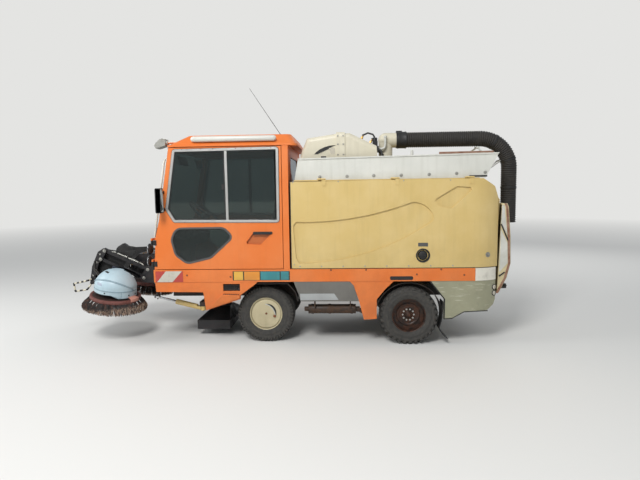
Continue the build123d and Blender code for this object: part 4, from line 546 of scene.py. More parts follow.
def tyre(label, x, sign, face, body):
    """Radial truck tyre: ribbed sidewall, carcass and a block tread with shoulder lugs."""
    centre = (x, 0, AXLE_Z)
    inner = face - TYRE_W
    rear = label.startswith("rear")
    form = Form()
    carcass = TYRE_R - 9
    wall = [(164.8, face - 13), (172, face - 8), (182, face - 7), (186, face - 3), (196, face - 3),
            (200, face - 1), (214, face), (218, face - 1.5), (236, face - 1.5), (240, face), (250, face - 1),
            (262, face - 9), (270, face - 18), (carcass, face - 28)]
    back = [(r, inner + face - h) for r, h in reversed(wall)]
    profile = [(r, h * sign) for r, h in wall + back]
    form.turned(profile, centre, (0, 1, 0), steps=96, toward=(0, 0, 1))
    pitch = 30 if rear else 54
    middle = face - TYRE_W / 2

    def slice_at(angle, points):
        ray = Vector((math.sin(angle), 0, math.cos(angle)))
        return [Vector(centre) + ray * r + Vector((0, (middle + y) * sign, 0)) for r, y in points]

    # tread blocks in rows: across position, half width, share of the pitch, offset
    rows = [(-64, 21, 0.78, 0.0), (-30, 9, 0.84, 0.5), (0, 9, 0.84, 0.0), (30, 9, 0.84, 0.5),
            (64, 21, 0.78, 0.0)]
    if rear:
        rows = [(-63, 22, 0.56, 0.0), (-24, 15, 0.62, 0.5), (24, 15, 0.62, 0.0), (63, 22, 0.56, 0.5)]
    for across, half, share, shift in rows:
        outer = abs(across) > 40
        for k in range(pitch):
            start = 360 * (k + shift) / pitch
            sweep = 360 / pitch * share
            low, high = across - half, across + half
            r_low, r_high = TYRE_R, TYRE_R
            if outer and across > 0:
                r_high = TYRE_R - SHOULDER_DROP
            elif outer:
                r_low = TYRE_R - SHOULDER_DROP
            bottom = carcass - 14
            skew = 2.0 if across * sign > 0 else -2.0
            rings = []
            for part in range(4):
                angle = math.radians(start + sweep * part / 3 + (skew if part in (1, 2) and rear else 0))
                rings.append(slice_at(angle, [(bottom, low), (r_low, low + 1), (TYRE_R, across),
                                              (r_high, high - 1), (bottom, high)]))
            form.rings(rings)
        if outer:
            # shoulder lugs that run down the sidewall
            for k in range(pitch):
                start = 360 * (k + shift) / pitch
                sweep = 360 / pitch * share * 0.8
                side_y = across + half - 1 if across > 0 else across - half + 1
                out = 1 if across > 0 else -1
                lug = [(TYRE_R - 13, side_y - out * 6), (TYRE_R - 11, side_y), (TYRE_R - 22, side_y),
                       (TYRE_R - 34, side_y - out * 3), (TYRE_R - 34, side_y - out * 12)]
                form.rings([slice_at(math.radians(start + sweep * part), lug) for part in range(2)])
    piece = fit(f"tyre_{label}_tread", form, body, "tyre", smooth=30)
    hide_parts(f"tyre_{label}")


def nut(form, centre, axis, radius, height, sides=6):
    """Nut or bolt head with a chamfered face."""
    form.turned([(0.01, 0), (radius, 0), (radius, height * 0.8), (radius * 0.8, height), (0.01, height)],
                centre, axis, steps=sides)


def wheel_face(label, x, sign, face, depth, body):
    """What shows on the disc: crescent hand hole, its dark fill a painted shadow and its white inner lip a
    painted highlight, and valve in front; nuts, hub and lip behind.
    """
    out = Vector((0, sign, 0))
    disc = face - depth
    at = Vector((x, sign * disc, AXLE_Z))
    lip = Form()
    lip.turned([(150, -2), (155, 4), (158, depth - 12), (164, depth - 9), (165, depth - 13),
                (160, depth - 16), (157, 0)], at, out, steps=72)
    if label.startswith("front"):
        fit(f"wheel_lip_{label}", lip, body, "front_rim", smooth=60)
        # the crescent is a black sheet, a painted shadow of the hand hole; its inner lip is white, a painted
        # highlight on the cream disc
        shadow, edge = Form(), Form()
        inner, outer = [], []
        for k in range(15):
            angle = math.radians(-4 + 118 * k / 14)
            ray = Vector((math.sin(angle), 0, math.cos(angle)))
            swell = math.sin(math.pi * k / 14)
            inner.append(at + out * 12.6 + ray * (96 - 14 * swell))
            outer.append(at + out * 12.6 + ray * (98 + 8 * swell))
        shadow.rings([inner + outer[::-1], [p + out * 0.8 for p in inner + outer[::-1]]])
        edge.bar([p + out * 1.0 for p in inner], 5.0, sides=8)
        fit(f"hand_hole_{label}", shadow, body, "gasket")
        fit(f"hand_hole_lip_{label}", edge, body, "white", smooth=60)
        small = Form()
        nut(small, at + out * 12.3, out, 11, 3, sides=20)
        small.bar([at + out * 12 + Vector((84, 0, -26)), at + out * 26 + Vector((84, 0, -26))], [15, 11],
                  sides=16)
        fit(f"hub_plug_{label}", small, body, "rust", bevel=0.6)
    else:
        fit(f"wheel_lip_{label}", lip, body, "rear_rim", smooth=60)
        nuts, hub = Form(), Form()
        for k in range(10):
            angle = math.radians(36 * k)
            centre = at + out * 4 + Vector((55 * math.cos(angle), 0, 55 * math.sin(angle)))
            nut(nuts, centre, out, 9.5, 11)
        fit(f"wheel_nuts_{label}", nuts, body, "aluminium", bevel=0.6)
        hub.turned([(0.01, 30), (18, 30), (24, 26), (26, 12), (34, 8), (36, 0), (0.01, 0)], at, out, steps=36)
        hub.turned([(88, 0), (92, 5), (108, 7), (116, 4), (118, 0)], at, out, steps=72)
        fit(f"hub_cap_{label}", hub, body, "rear_rim", smooth=50)


# Thin sheets and rectangles in X and Z
def pane(form, outline, sign, y=BODY_HALF, proud=1.4):
    """Thin sheet laid on a side's skin."""
    return form.side_plate(outline, sign * (y - 0.4), sign * (y + proud))


def box(x0, x1, z0, z1):
    return [(x0, z0), (x1, z0), (x1, z1), (x0, z1)]


# Side brushes: plate and tufts on a spindle that leans back and outward
BRUSH_AT = (-1842.0, 410.0, 450.0)
BRUSH_LEAN = (0.14, 0.08)
TUFTS = 56
WIRES = 40                         # in one tuft


def spindle(sign):
    """Spindle, straight back and sideways directions of one brush."""
    up = Vector((BRUSH_LEAN[0], sign * BRUSH_LEAN[1], 1)).normalized()
    back = Vector((0, 1, 0)).cross(up).normalized()
    return up, back, up.cross(back)


def spun(sign, radius, angle, height):
    """Point over a brush plate: angle in degrees from straight back round the outer side."""
    up, back, side = spindle(sign)
    turn = math.radians(angle) * sign
    x, y, z = BRUSH_AT
    return Vector((x, sign * y, z)) + up * height + (back * math.cos(turn) + side * math.sin(turn)) * radius


def side_brush(side, sign):
    """Steel plate with a rolled rim and tufts of splayed bristle."""
    body = f"brush_{side}"
    up = spindle(sign)[0]
    plate = Form()
    plate.turned([(0.01, 20), (150, 20), (196, 14), (236, 15), (240, 0), (0.01, 0)], spun(sign, 0, 0, 0), up,
                 steps=72)
    plate.bar([spun(sign, 0, 0, 18), spun(sign, 0, 0, 83)], 18, sides=20)
    fit(f"brush_plate_{side}", plate, body, "rust_dark", smooth=50)
    rim = Form().turned([(226, 15), (236, 17), (248, 14), (251, 6), (251, -16), (246, -21), (238, -16),
                         (236, 0), (226, 0)], spun(sign, 0, 0, 0), up, steps=72)
    fit(f"brush_rim_{side}", rim, body, "plate", smooth=50)
    random.seed(11 + sign)
    wires = Form()
    path = ((0.0, 2), (0.36, -30), (0.74, -72), (1.0, -112))
    for k in range(TUFTS):
        root = 230 if k % 2 else 208
        lean = random.uniform(-2, 2)
        for _ in range(WIRES):
            angle = 360 * k / TUFTS + random.gauss(0, 1.5)
            spread = random.gauss(0, 2.4) + lean
            reach = 318 - root + random.uniform(-12, 6)
            drop = random.uniform(0.86, 1.06)
            wires.bar([spun(sign, root + reach * share, angle + spread * share, height * drop)
                       for share, height in path], [2.4, 2.3, 2.1, 1.5], sides=3)
    bristles = fit(f"brush_bristles_{side}", wires, body, "bristle", smooth=80)
    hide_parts(f"brush_{side}")


# What a hood carries: its raised ridge, the bead on its edge, screws, a slot and a blank field
DOME_CENTRE = (20.7, 92.4)         # radius and height of the dome's arc centre
DOME_R = 193.2
SHOULDER = (208.0, 140.0)


def on_hood(sign, angle, height, proud=0.0):
    """Point on a hood's outer skin."""
    if height < SHOULDER[1]:
        radius = SHOULDER[0] + (SHOULDER[1] - height) * 4 / 108 + proud
        return spun(sign, radius, angle, height)
    rise = min((height - DOME_CENTRE[1]) / DOME_R, 0.999)
    flat = math.sqrt(1 - rise ** 2)
    return spun(sign, DOME_CENTRE[0] + (DOME_R + proud) * flat, angle, height + proud * rise)


def smooth_path(knots, steps=6):
    """Knots of angle and height with points eased in between."""
    path = []
    for k in range(len(knots) - 1):
        before, here, there, after = (knots[min(max(j, 0), len(knots) - 1)] for j in (k - 1, k, k + 1, k + 2))
        for step in range(steps):
            t = step / steps
            path.append(tuple(0.5 * (2 * b + (c - a) * t + (2 * a - 5 * b + 4 * c - d) * t * t
                                     + (3 * b - a - 3 * c + d) * t ** 3)
                              for a, b, c, d in zip(before, here, there, after)))
    return path + [knots[-1]]


def hood_details(side, sign):
    body = f"brush_head_{side}"
    ridge = Form()
    line = smooth_path([(176, 128), (160, 158), (135, 190), (108, 206), (80, 204), (54, 180), (30, 140),
                        (14, 104)])
    ridge.bar([on_hood(sign, a, h, -1.5) for a, h in line], [1.5] + [9] * (len(line) - 2) + [1.5], sides=8)
    waist = smooth_path([(176, 96), (140, 101), (100, 103), (60, 100), (20, 96), (-6, 94)])
    ridge.bar([on_hood(sign, a, h, -1.5) for a, h in waist], [1.5] + [6] * (len(waist) - 2) + [1.5], sides=8)
    edge = [(176, 65), (150, 66), (120, 66), (100, 66), (80, 67), (66, 51), (54, 36), (30, 34), (0, 34),
            (-8, 34)]
    ridge.bar([on_hood(sign, a, h, -2.5) for a, h in edge], 4.5, sides=8)
    ridge.bar([on_hood(sign, 52, h, -2) for h in (38, 60, 84, 100)], [3, 4, 4, 2], sides=8)
    # ridge, bead and rib take the darker blue: painted shade lines along them
    fit(f"hood_ridge_{side}", ridge, body, "hood_rib_shade", smooth=60)
    lap = ((209, 42), (264, 32), (264, 0), (259, 0), (259, 27), (209, 37))
    shoe = Form().rings([[spun(sign, r, angle, h) for r, h in lap] for angle in range(8, 35, 3)])
    fit(f"hood_shoe_{side}", shoe, body, "shoe", bevel=1.0)
    trim = Form()
    slot = [(on_hood(sign, a, 262, 0.6), on_hood(sign, a, 270, 0.6)) for a in (112, 120, 128, 136, 144)]
    trim.rings([[low, high, high + Vector((0, 0, 3)), low + Vector((0, 0, 3))] for low, high in slot])
    for angle, height in ((96, 82), (30, 58), (4, 58), (160, 84)):
        skin = on_hood(sign, angle, height)
        out = (on_hood(sign, angle, height, 1) - skin).normalized()
        nut(trim, skin - out, out, 8, 4, sides=12)
    fit(f"hood_slot_{side}", trim, body, "gasket", smooth=50)
    field = Form()
    rows, rear = ([[on_hood(sign, angle - slant, height, proud) for angle in (126, 121, 116, 111, 106)]
                   for height, slant in ((150, 0), (158, -1.5), (166, -3), (174, -4.5))]
                  for proud in (0.9, 0.1))
    field.rings([top + bottom[::-1] for top, bottom in zip(rows, rear)])
    fit(f"hood_field_{side}", field, body, "field", smooth=60)


# Head and links: splash sheet, striped sleeves on the hoop, pin heads, pipes along the upper link
LINK_REAR = (-1545.0, 700.0)
LINK_FRONT = (-2005.0, 905.0)
LOWER_REAR = (-1591.0, 611.0)
LOWER_FRONT = (-2051.0, 816.0)
LINK_Y = 240.0
CLEVIS_OUT = 270.0
HOOP = [(-2150, 269, 606), (-2176, 330, 596), (-2327, 330, 564), (-2315, 330, 481), (-2184, 330, 500),
        (-2164, 269, 556)]
SPLASH_SHEET = [(-2120, 566), (-2144, 738), (-2080, 888), (-2001, 914), (-1860, 892), (-1697, 898),
                (-1698, 878), (-1774, 800), (-1840, 740), (-1930, 690), (-2010, 610), (-2030, 566)]


def pin_head(form, x, z, sign):
    nut(form, (x, sign * CLEVIS_OUT, z), (0, sign, 0), 18, 4, sides=20)
    nut(form, (x, sign * (CLEVIS_OUT + 4), z), (0, sign, 0), 11, 7)


def head_details(side, sign):
    body = f"brush_head_{side}"
    sheet = Form().side_plate(soften(SPLASH_SHEET, 12, 3), sign * 192, sign * 201)
    fit(f"splash_sheet_{side}", sheet, body, "gasket", bevel=1.5)
    sleeves = Form()
    for start, end in zip(HOOP[:-1], HOOP[1:]):
        one, two = (Vector((x, sign * y, z)) for x, y, z in (start, end))
        run = (two - one).length
        count = int(run // 46)
        for k in range(count):
            low = one.lerp(two, (k + 0.3) / count)
            high = one.lerp(two, (k + 0.8) / count)
            sleeves.bar([low, high], 9.4, sides=14)
    fit(f"hoop_sleeves_{side}", sleeves, body, "tape", smooth=60)
    pins = Form()
    for x, z in (LINK_FRONT, LOWER_FRONT):
        pin_head(pins, x, z, sign)
    for x, z in ((-2110, 700), (-2140, 640), (-2052, 868), (-2090, 780)):
        nut(pins, (x, sign * CLEVIS_OUT, z), (0, sign, 0), 10, 7)
    up = spindle(sign)[0]
    motor = Form()
    for k in range(4):
        nut(pins, spun(sign, 44, 45 + 90 * k, 130), up, 8, 8)
    fit(f"head_bolts_{side}", pins, body, "zinc", bevel=0.8)
    motor.turned([(58.3, 34), (62, 38), (62, 58), (58.3, 62)], spun(sign, 0, 0, 0), up, steps=40)
    motor.turned([(58.3, 96), (60.5, 98), (60.5, 108), (58.3, 110)], spun(sign, 0, 0, 0), up, steps=40)
    for y in (252, 286):
        motor.bar([spun(sign, 40, 180, 128), spun(sign, 70, 180, 150), Vector((-2040, sign * (y + 60), 640)),
                   Vector((-2110, sign * (y + 8), 700)), Vector((-2104, sign * (y + 8), 800))], 9, sides=10)
    fit(f"motor_pipes_{side}", motor, body, "hose", smooth=60)


def link_details(side, sign):
    one, two = Vector((LINK_REAR[0], 0, LINK_REAR[1])), Vector((LINK_FRONT[0], 0, LINK_FRONT[1]))
    along = (two - one).normalized()
    over = Vector((along.z, 0, -along.x))
    if over.z < 0:
        over = -over
    length = (two - one).length
    pipes, clips = Form(), Form()
    for y in (232, 248):
        route = [(70, 18), (92, 26), (length / 2, 26), (length - 92, 26), (length - 70, 18)]
        pipes.bar([one + along * run + over * lift + Vector((0, sign * y, 0)) for run, lift in route], 5.5)
    for share in (0.24, 0.5, 0.76):
        centre = one + along * length * share + Vector((0, sign * LINK_Y, 0))
        ring = [(-8, 14), (8, 14), (8, 33), (-8, 33)]
        clips.rings([[centre + along * a + over * b + Vector((0, y, 0)) for a, b in ring] for y in (-14, 14)])
    body = f"lift_arm_upper_{side}"
    fit(f"link_pipes_{side}", pipes, body, "zinc", smooth=60)
    fit(f"link_clips_{side}", clips, body, "plastic", bevel=1.5)
    pins = Form()
    for x, z in (LINK_REAR, LOWER_REAR):
        pin_head(pins, x, z, sign)
    fit(f"bracket_pins_{side}", pins, f"swing_bracket_{side}", "zinc", bevel=0.8)
    guard = Form()
    knots = [(-1937, 738), (-1860, 728), (-1764, 704), (-1670, 655), (-1590, 596)]
    route = smooth_path(knots, 5)
    guard.rings([[(x, sign * (LINK_Y + y), z + h) for y, h in ((-9, 0), (15, 0), (15, -24), (-9, -24))]
                 for x, z in route])
    fit(f"link_guard_{side}", guard, f"lift_arm_lower_{side}", "guard", bevel=2.0)


def carrier_details():
    """Lid, unions and pipes of the valve box between the swing brackets."""
    lid = Form()
    lid.block((-1690, -134, 843), (-1384, 134, 857))
    lid.side_plate([(-1690, 857), (-1761, 784), (-1757, 778), (-1686, 851)], -134, 134)
    fit("valve_box_lid", lid, "root", "black_steel", bevel=3.0)
    fittings, pipes = Form(), Form()
    for y in (-96, -48, 0, 48, 96):
        nut(fittings, (-1766, y, 735), (-1, 0, 0.25), 15, 18)
        nut(fittings, (-1783, y, 739), (-1, 0, 0.25), 10, 10)
        nut(fittings, (-1776, y, 662), (-1, 0, 0.1), 12, 14)
    for y in (-120, -60, 0, 60, 120):
        nut(fittings, (-1500, y, 857), (0, 0, 1), 9, 6)
        nut(fittings, (-1640, y, 857), (0, 0, 1), 9, 6)
    fit("valve_unions", fittings, "root", "brass", bevel=0.8)
    for y in (-96, -48, 0, 48, 96):
        pipes.bar([(-1795, y, 742), (-1815, y, 735), (-1815, y, 650), (-1790, y, 622), (-1750, y, 590),
                   (-1600, y * 0.8, 586), (-1440, y * 0.8, 578)], 8)
    fit("valve_pipes", pipes, "root", "hose", smooth=60)


# Cab windows, their aluminium frames, gaskets and the sliding pane's post
WINDOW = [(-1089, 1923), (-74, 1932), (-78, 1219), (-1106, 1229), (-1180, 1352)]
TEARDROP = [(-1142, 1053), (-1094, 1165), (-616, 1167), (-532, 1074), (-756, 873), (-992, 817), (-1105, 904)]
TEARDROP_R = (90, 90, 90, 45, 90, 90, 90)
PANE_FACE = BODY_HALF - 13.6
NOSE_TOP = (-1310.0, 1081.0)
SCREEN_KNEE = (-1265.0, 1253.0)
GUTTER_FRONT = (-1146.0, 1943.0)
SCREEN_HALF = BODY_HALF - 44


def band(form, outline, radii, outer, inner, y_one, y_two, steps=6):
    """Flat ring round an outline in X and Z, between two distances from it and two Y planes."""
    rings = []
    for grow, y in ((outer, y_one), (outer, y_two), (inner, y_two), (inner, y_one)):
        path = soften(offset_outline(outline, grow), [max(r + grow, 2) for r in radii], steps)
        rings.append([(x, y, z) for x, z in path])
    return form.rings(rings, joined=True)


def cab_windows(side, sign):
    body = f"door_{side}"
    corners = [25] * len(WINDOW)
    metal, seal, drop = Form(), Form(), Form()
    band(metal, WINDOW, corners, 5, -19, sign * PANE_FACE, sign * (BODY_HALF + 5))
    metal.block((-592, sign * PANE_FACE, 1240), (-568, sign * (BODY_HALF - 1), 1908))
    fit(f"window_frame_{side}", metal, body, "aluminium", bevel=1.5, smooth=30)
    band(seal, WINDOW, corners, -19, -28, sign * PANE_FACE, sign * (BODY_HALF - 5))
    # the dark rubber ring just outside the frame is a joint that also paints the shadow line round the frame
    band(seal, WINDOW, corners, 9, 5, sign * (BODY_HALF - 2), sign * (BODY_HALF + 2.5))
    seal.block((-604, sign * PANE_FACE, 1246), (-592, sign * (BODY_HALF - 5), 1900))
    seal.block((-112, sign * PANE_FACE, 1246), (-100, sign * (BODY_HALF - 6), 1900))
    seal.block((-626, sign * PANE_FACE, 1540), (-600, sign * (BODY_HALF + 2), 1590))
    fit(f"window_seal_{side}", seal, body, "gasket", bevel=0.8)
    band(drop, TEARDROP, TEARDROP_R, 9, -9, sign * PANE_FACE, sign * (BODY_HALF + 4), steps=10)
    fit(f"teardrop_trim_{side}", drop, body, "trim", bevel=2.0, smooth=50)
    lip = Form()
    band(lip, TEARDROP, TEARDROP_R, -9, -16, sign * PANE_FACE, sign * (BODY_HALF - 3), steps=10)
    fit(f"teardrop_seal_{side}", lip, body, "gasket", smooth=50)
    screws = Form()
    for x in (-1000, -820, -700, -480, -330, -140):
        nut(screws, (x, sign * (BODY_HALF + 4.6), 1226 + (x + 1106) * -0.01 - 4), (0, sign, 0), 4.5, 1.6,
            sides=10)
        nut(screws, (x, sign * (BODY_HALF + 4.6), 1928), (0, sign, 0), 4.5, 1.6, sides=10)
    fit(f"window_screws_{side}", screws, body, "rust", smooth=50)


RECESS = [(-414, 1008), (-330, 1118), (-137, 1121), (-262, 997)]
HANDLE = [(-336, 1098), (-326, 1125), (-148, 1125), (-142, 1112), (-152, 1098)]
MIRROR_REAR = -1188.0


def door_details(side, sign):
    body = f"door_{side}"
    # recess floor plate in darker orange: painted shade inside the recess, with some dirt
    floor = Form().side_plate(soften(offset_outline(RECESS, -2), 14, 4), sign * (BODY_HALF - 21.9),
                              sign * (BODY_HALF - 20.4))
    fit(f"handle_recess_{side}", floor, body, "recess")
    grip = Form().side_plate(soften(HANDLE, 5, 3), sign * (BODY_HALF - 19), sign * (BODY_HALF + 9.5))
    grip.turned([(0.01, 0), (9, 0), (9, 3), (6, 4.5), (0.01, 4.5)], (-168, sign * (BODY_HALF + 9), 1111),
                (0, sign, 0), steps=20)
    fit(f"door_handle_{side}", grip, body, "plastic", bevel=2.5, segments=3)
    trims = Form()
    band(trims, RECESS, [16] * 4, 5, -1, sign * (BODY_HALF - 1), sign * (BODY_HALF + 1.6))
    fit(f"recess_edge_{side}", trims, body, "orange", bevel=0.7)
    # mirror head over its plain core: rounded shell open behind, the glass set in it
    cuts = [(x, soften(box(698 + cut, 780 - cut, 1320 + cut, 1558 - cut), 6, 4))
            for x, cut in ((-1243, 12), (-1238, 4), (-1230, 0), (-1187, 0))]
    shell = Form().rings([[(x, sign * y, z) for y, z in outline] for x, outline in cuts])
    fit(f"mirror_shell_{side}", shell, body, "plastic", bevel=1.5, smooth=50)
    face = soften(box(709, 772, 1330, 1548), 12, 4)
    glass = Form().rings([[(x, sign * y, z) for y, z in face] for x in (-1187.5, MIRROR_REAR + 3)])
    fit(f"mirror_glass_{side}", glass, body, "mirror")
    arms = Form()
    for z in (1350, 1520):
        arms.bar([(-1210, sign * (BODY_HALF - 2), z), (-1210, sign * (BODY_HALF + 52), z)], 10, sides=14)
        arms.turned([(0.01, 0), (21, 0), (18, 6), (0.01, 7)], (-1210, sign * (BODY_HALF - 0.5), z),
                    (0, sign, 0), steps=20)
    fit(f"mirror_arms_{side}", arms, body, "black_steel", smooth=50)


def screen_point(y, z, proud=0.0):
    """Point on the bowed windscreen."""
    (x0, z0), (x1, z1), (x2, z2) = NOSE_TOP, SCREEN_KNEE, GUTTER_FRONT
    share = (z - z0) / (z1 - z0) if z < z1 else (z - z1) / (z2 - z1)
    x = x0 + (x1 - x0) * share if z < z1 else x1 + (x2 - x1) * share
    bow = 58.0 if z < z1 else 58.0 - 20.0 * share
    return Vector((x - bow * (1 - (y / SCREEN_HALF) ** 2) - proud, y, z))


def front_trim():
    """Rubber round the windscreen, the light strips on its sides, hand rails and wipers."""
    seal, strips, wipers = Form(), Form(), Form()
    across = [SCREEN_HALF * (k / 12 - 1) for k in range(25)]
    for z in (1086, 1936):
        seal.bar([screen_point(y, z, 1) for y in across], 9, sides=8)
    for _, sign in SIDES:
        heights = (1084, 1170, 1253, 1400, 1600, 1800, 1938)
        seal.bar([screen_point(sign * (SCREEN_HALF - 6), z, 1) for z in heights], 9, sides=8)
        strips.rings([[screen_point(sign * (SCREEN_HALF - 4), z) + Vector((dx, sign * dy, 0))
                       for dx, dy in ((-9, -14), (-9, 7), (16, 7), (16, -2))] for z in heights[1:]])
    rails = Form()
    for _, sign in SIDES:
        rails.bar([(-1150, sign * 592, 1850), (-1186, sign * 596, 1842), (-1200, sign * 596, 1808),
                   (-1248, sign * 596, 1520), (-1302, sign * 596, 1222), (-1322, sign * 596, 1090),
                   (-1326, sign * 596, 1050), (-1300, sign * 590, 1034)], 10, sides=14)
    fit("screen_hand_rails", rails, "root", "white", smooth=60)
    fit("screen_seal", seal, "root", "gasket", smooth=60)
    fit("screen_strips", strips, "root", "aluminium", bevel=2.0)
    for start, end in ((520, 40), (-40, -520)):
        pivot = screen_point(start - 20, 1095, 4)
        wipers.bar([pivot + Vector((10, 0, -30)), pivot + Vector((-14, 0, -30))], 14, sides=14)
        wipers.bar([pivot + Vector((-12, 0, -28)), screen_point(start - 120, 1118, 20),
                    screen_point((start + end) / 2, 1136, 16)], [9, 6, 4])
        blade = [start - 480 * k / 10 for k in range(11)]
        wipers.bar([screen_point(y, 1124 + 0.05 * (start - y), 7) for y in blade], 4.5, sides=6)
    fit("wipers", wipers, "root", "plastic", smooth=60)


# Lamps, grab tubes and antenna on the cab, in place of their plain solids
LAMP_Y = 450.0
WORK_LAMP = [(-1306, 1985), (-1290, 1945), (-1190, 1975), (-1190, 2030), (-1250, 2040)]
NOSE_LAMPS = ((943, -1450, 46), (818, -1456, 40))          # height, front and depth of each bowl
WORK_LAMP_Y = 500.0


def cab_fittings():
    glass, amber, bowls, rings = Form(), Form(), Form(), Form()
    for _, sign in SIDES:
        for (z, x, depth), lens_form in zip(NOSE_LAMPS, (glass, amber)):
            at = (x, sign * LAMP_Y, z)
            bowls.turned([(0.01, depth), (20, depth), (44, depth - 12), (55, 16), (56, 9), (50, 9),
                          (0.01, 12)], at, (1, 0, 0), steps=40)
            bowls.bar([(x + depth - 4, sign * LAMP_Y, z), (-1342, sign * LAMP_Y, z)], 12, sides=16)
            bowls.turned([(12, 0), (26, 0), (26, 5), (12, 8)], (-1352, sign * LAMP_Y, z), (-1, 0, 0),
                         steps=20)
            rings.turned([(49, 3), (55, 4), (56, 9), (52, 11), (49, 9)], at, (1, 0, 0), steps=40)
            lens_form.turned([(0.01, 0), (26, 1), (42, 4), (49.5, 8), (49.5, 11), (0.01, 11)], at, (1, 0, 0),
                             steps=40)
    piece = fit("lamp_bowls", bowls, "root", "plastic", smooth=50)
    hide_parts("cab_fittings")
    fit("lamp_rings", rings, "root", "chrome", smooth=50)
    fit("headlamp_glass", glass, "root", "clear", smooth=60)
    fit("indicator_lens", amber, "root", "amber", smooth=60)
    heads, faces, arms = Form(), Form(), Form()
    for _, sign in SIDES:
        heads.side_plate(soften(WORK_LAMP, (6, 6, 12, 16, 20), 3), sign * (WORK_LAMP_Y - 60),
                         sign * (WORK_LAMP_Y + 60))
        (x0, z0), (x1, z1) = WORK_LAMP[:2]
        faces.rings([[(x0 - 1.5, y, z0 - 3), (x1 - 1.5, y, z1 + 3), (x1 + 4, y, z1 + 6), (x0 + 4, y, z0 - 2)]
                     for y in (sign * (WORK_LAMP_Y - 54), sign * (WORK_LAMP_Y + 54))])
        route = ((-1196, 2003), (-1150, 2010), (-1078, 2006))
        arms.bar([(x, sign * WORK_LAMP_Y, z) for x, z in route], 12, sides=14)
        arms.block((-1212, sign * (WORK_LAMP_Y - 28), 1992), (-1184, sign * (WORK_LAMP_Y + 28), 2020))
        for y in (WORK_LAMP_Y - 38, WORK_LAMP_Y + 38):
            arms.bar([(-1205, sign * y, 2006), (-1205, sign * WORK_LAMP_Y, 2006)], 7)
        fin = ((-1240, 2038), (-1196, 2030), (-1196, 2040), (-1236, 2046))
        for k in range(5):
            y = sign * (WORK_LAMP_Y - 44 + 22 * k)
            heads.rings([[(x, y + dy, z) for x, z in fin] for dy in (-3, 3)])
    fit("work_lamps", heads, "root", "zinc", bevel=3.0)
    fit("work_lamp_glass", faces, "root", "clear")
    fit("work_lamp_arms", arms, "root", "white", bevel=1.5)
    tubes, mast = Form(), Form()
    for _, sign in SIDES:
        ends = [(-915, 4), (-913, 14), (-905, 22), (-890, 27), (-115, 27), (-100, 22), (-92, 14), (-90, 4)]
        tubes.bar([(x, sign * 635, 2022) for x, _ in ends], [r for _, r in ends], sides=24)
    fit("roof_tubes", tubes, "root", "white", smooth=60)
    mast.turned([(0.01, 0), (20, 0), (19, 8), (12, 16), (7, 30), (0.01, 31)], (-94, 0, 2065), (0, 0, 1),
                steps=24)
    base, tip = Vector((-98, 0, 2080)), Vector((-447, 0, 2610))
    mast.bar([base, base.lerp(tip, 0.08), base.lerp(tip, 0.1), base.lerp(tip, 0.6), tip],
             [6, 5.5, 3.2, 2.4, 1.8])
    fit("antenna", mast, "root", "plastic", smooth=60)


# Suction hose: a ribbed tube with clamps at the stub
HOSE_Y = -200.0
HOSE_Z = 2018.0
HOSE_X = 2240.0
HOSE_START = 1092.0
HOSE_CUT = 1500.0                  # height where the end piece on the tailgate's path begins
HOSE_R = 75.5
HOSE_BEND = 300.0
RIB = 21.0


def ribbed(form, path_point, length, start=0.0):
    """Rings whose radius rises and falls with each rib along the path."""
    rings = []
    steps = int(length / RIB) * 6
    for k in range(steps + 1):
        run = length * k / steps
        point, ahead = path_point(run)
        phase = (run + start) / RIB * 2 * math.pi
        radius = HOSE_R + 3.8 * math.cos(phase) + 0.7 * math.cos(2 * phase)
        up = Vector((0, 1, 0))
        side = ahead.cross(up)
        rings.append([point + (up * math.cos(a) + side * math.sin(a)) * radius
                      for a in (2 * math.pi * i / 40 for i in range(40))])
    return form.rings(rings)


def suction_hose():
    first = HOSE_X - HOSE_BEND - HOSE_START
    arc = HOSE_BEND * math.pi / 2

    def along(run):
        if run < first:
            return Vector((HOSE_START + run, HOSE_Y, HOSE_Z)), Vector((1, 0, 0))
        if run < first + arc:
            angle = (run - first) / HOSE_BEND
            return (Vector((HOSE_START + first + HOSE_BEND * math.sin(angle), HOSE_Y,
                            HOSE_Z - HOSE_BEND * (1 - math.cos(angle)))),
                    Vector((math.cos(angle), 0, -math.sin(angle))))
        return Vector((HOSE_X, HOSE_Y, HOSE_Z - HOSE_BEND - (run - first - arc))), Vector((0, 0, -1))

    total = first + arc + (HOSE_Z - HOSE_BEND - HOSE_CUT)
    hose = fit("roof_hose", ribbed(Form(), along, total), "hopper", "hose", smooth=70)
    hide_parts("suction_hose")

    def down(run):
        return Vector((HOSE_X, HOSE_Y, HOSE_CUT - run)), Vector((0, 0, -1))

    tail = ribbed(Form(), down, 337, start=total)
    end = fit("roof_hose_end", tail, "hopper", "hose", smooth=70)
    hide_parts("hose_tail")
    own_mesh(end)
    clamps = Form()
    for x in (1098, 1122, 1146):
        clamps.turned([(79.5, -7), (82, -7), (83, 0), (82, 7), (79.5, 7)], (x, HOSE_Y, HOSE_Z), (1, 0, 0),
                      steps=48)
    clamps.block((HOSE_START, HOSE_Y - 12, HOSE_Z + 80), (1152, HOSE_Y + 12, HOSE_Z + 94))
    fit("hose_clamps", clamps, "hopper", "black_steel", bevel=1.0)


# Belt, lower cab and rear bumper
STICKER = (651, 734)               # foot and head of the warning sticker's fields


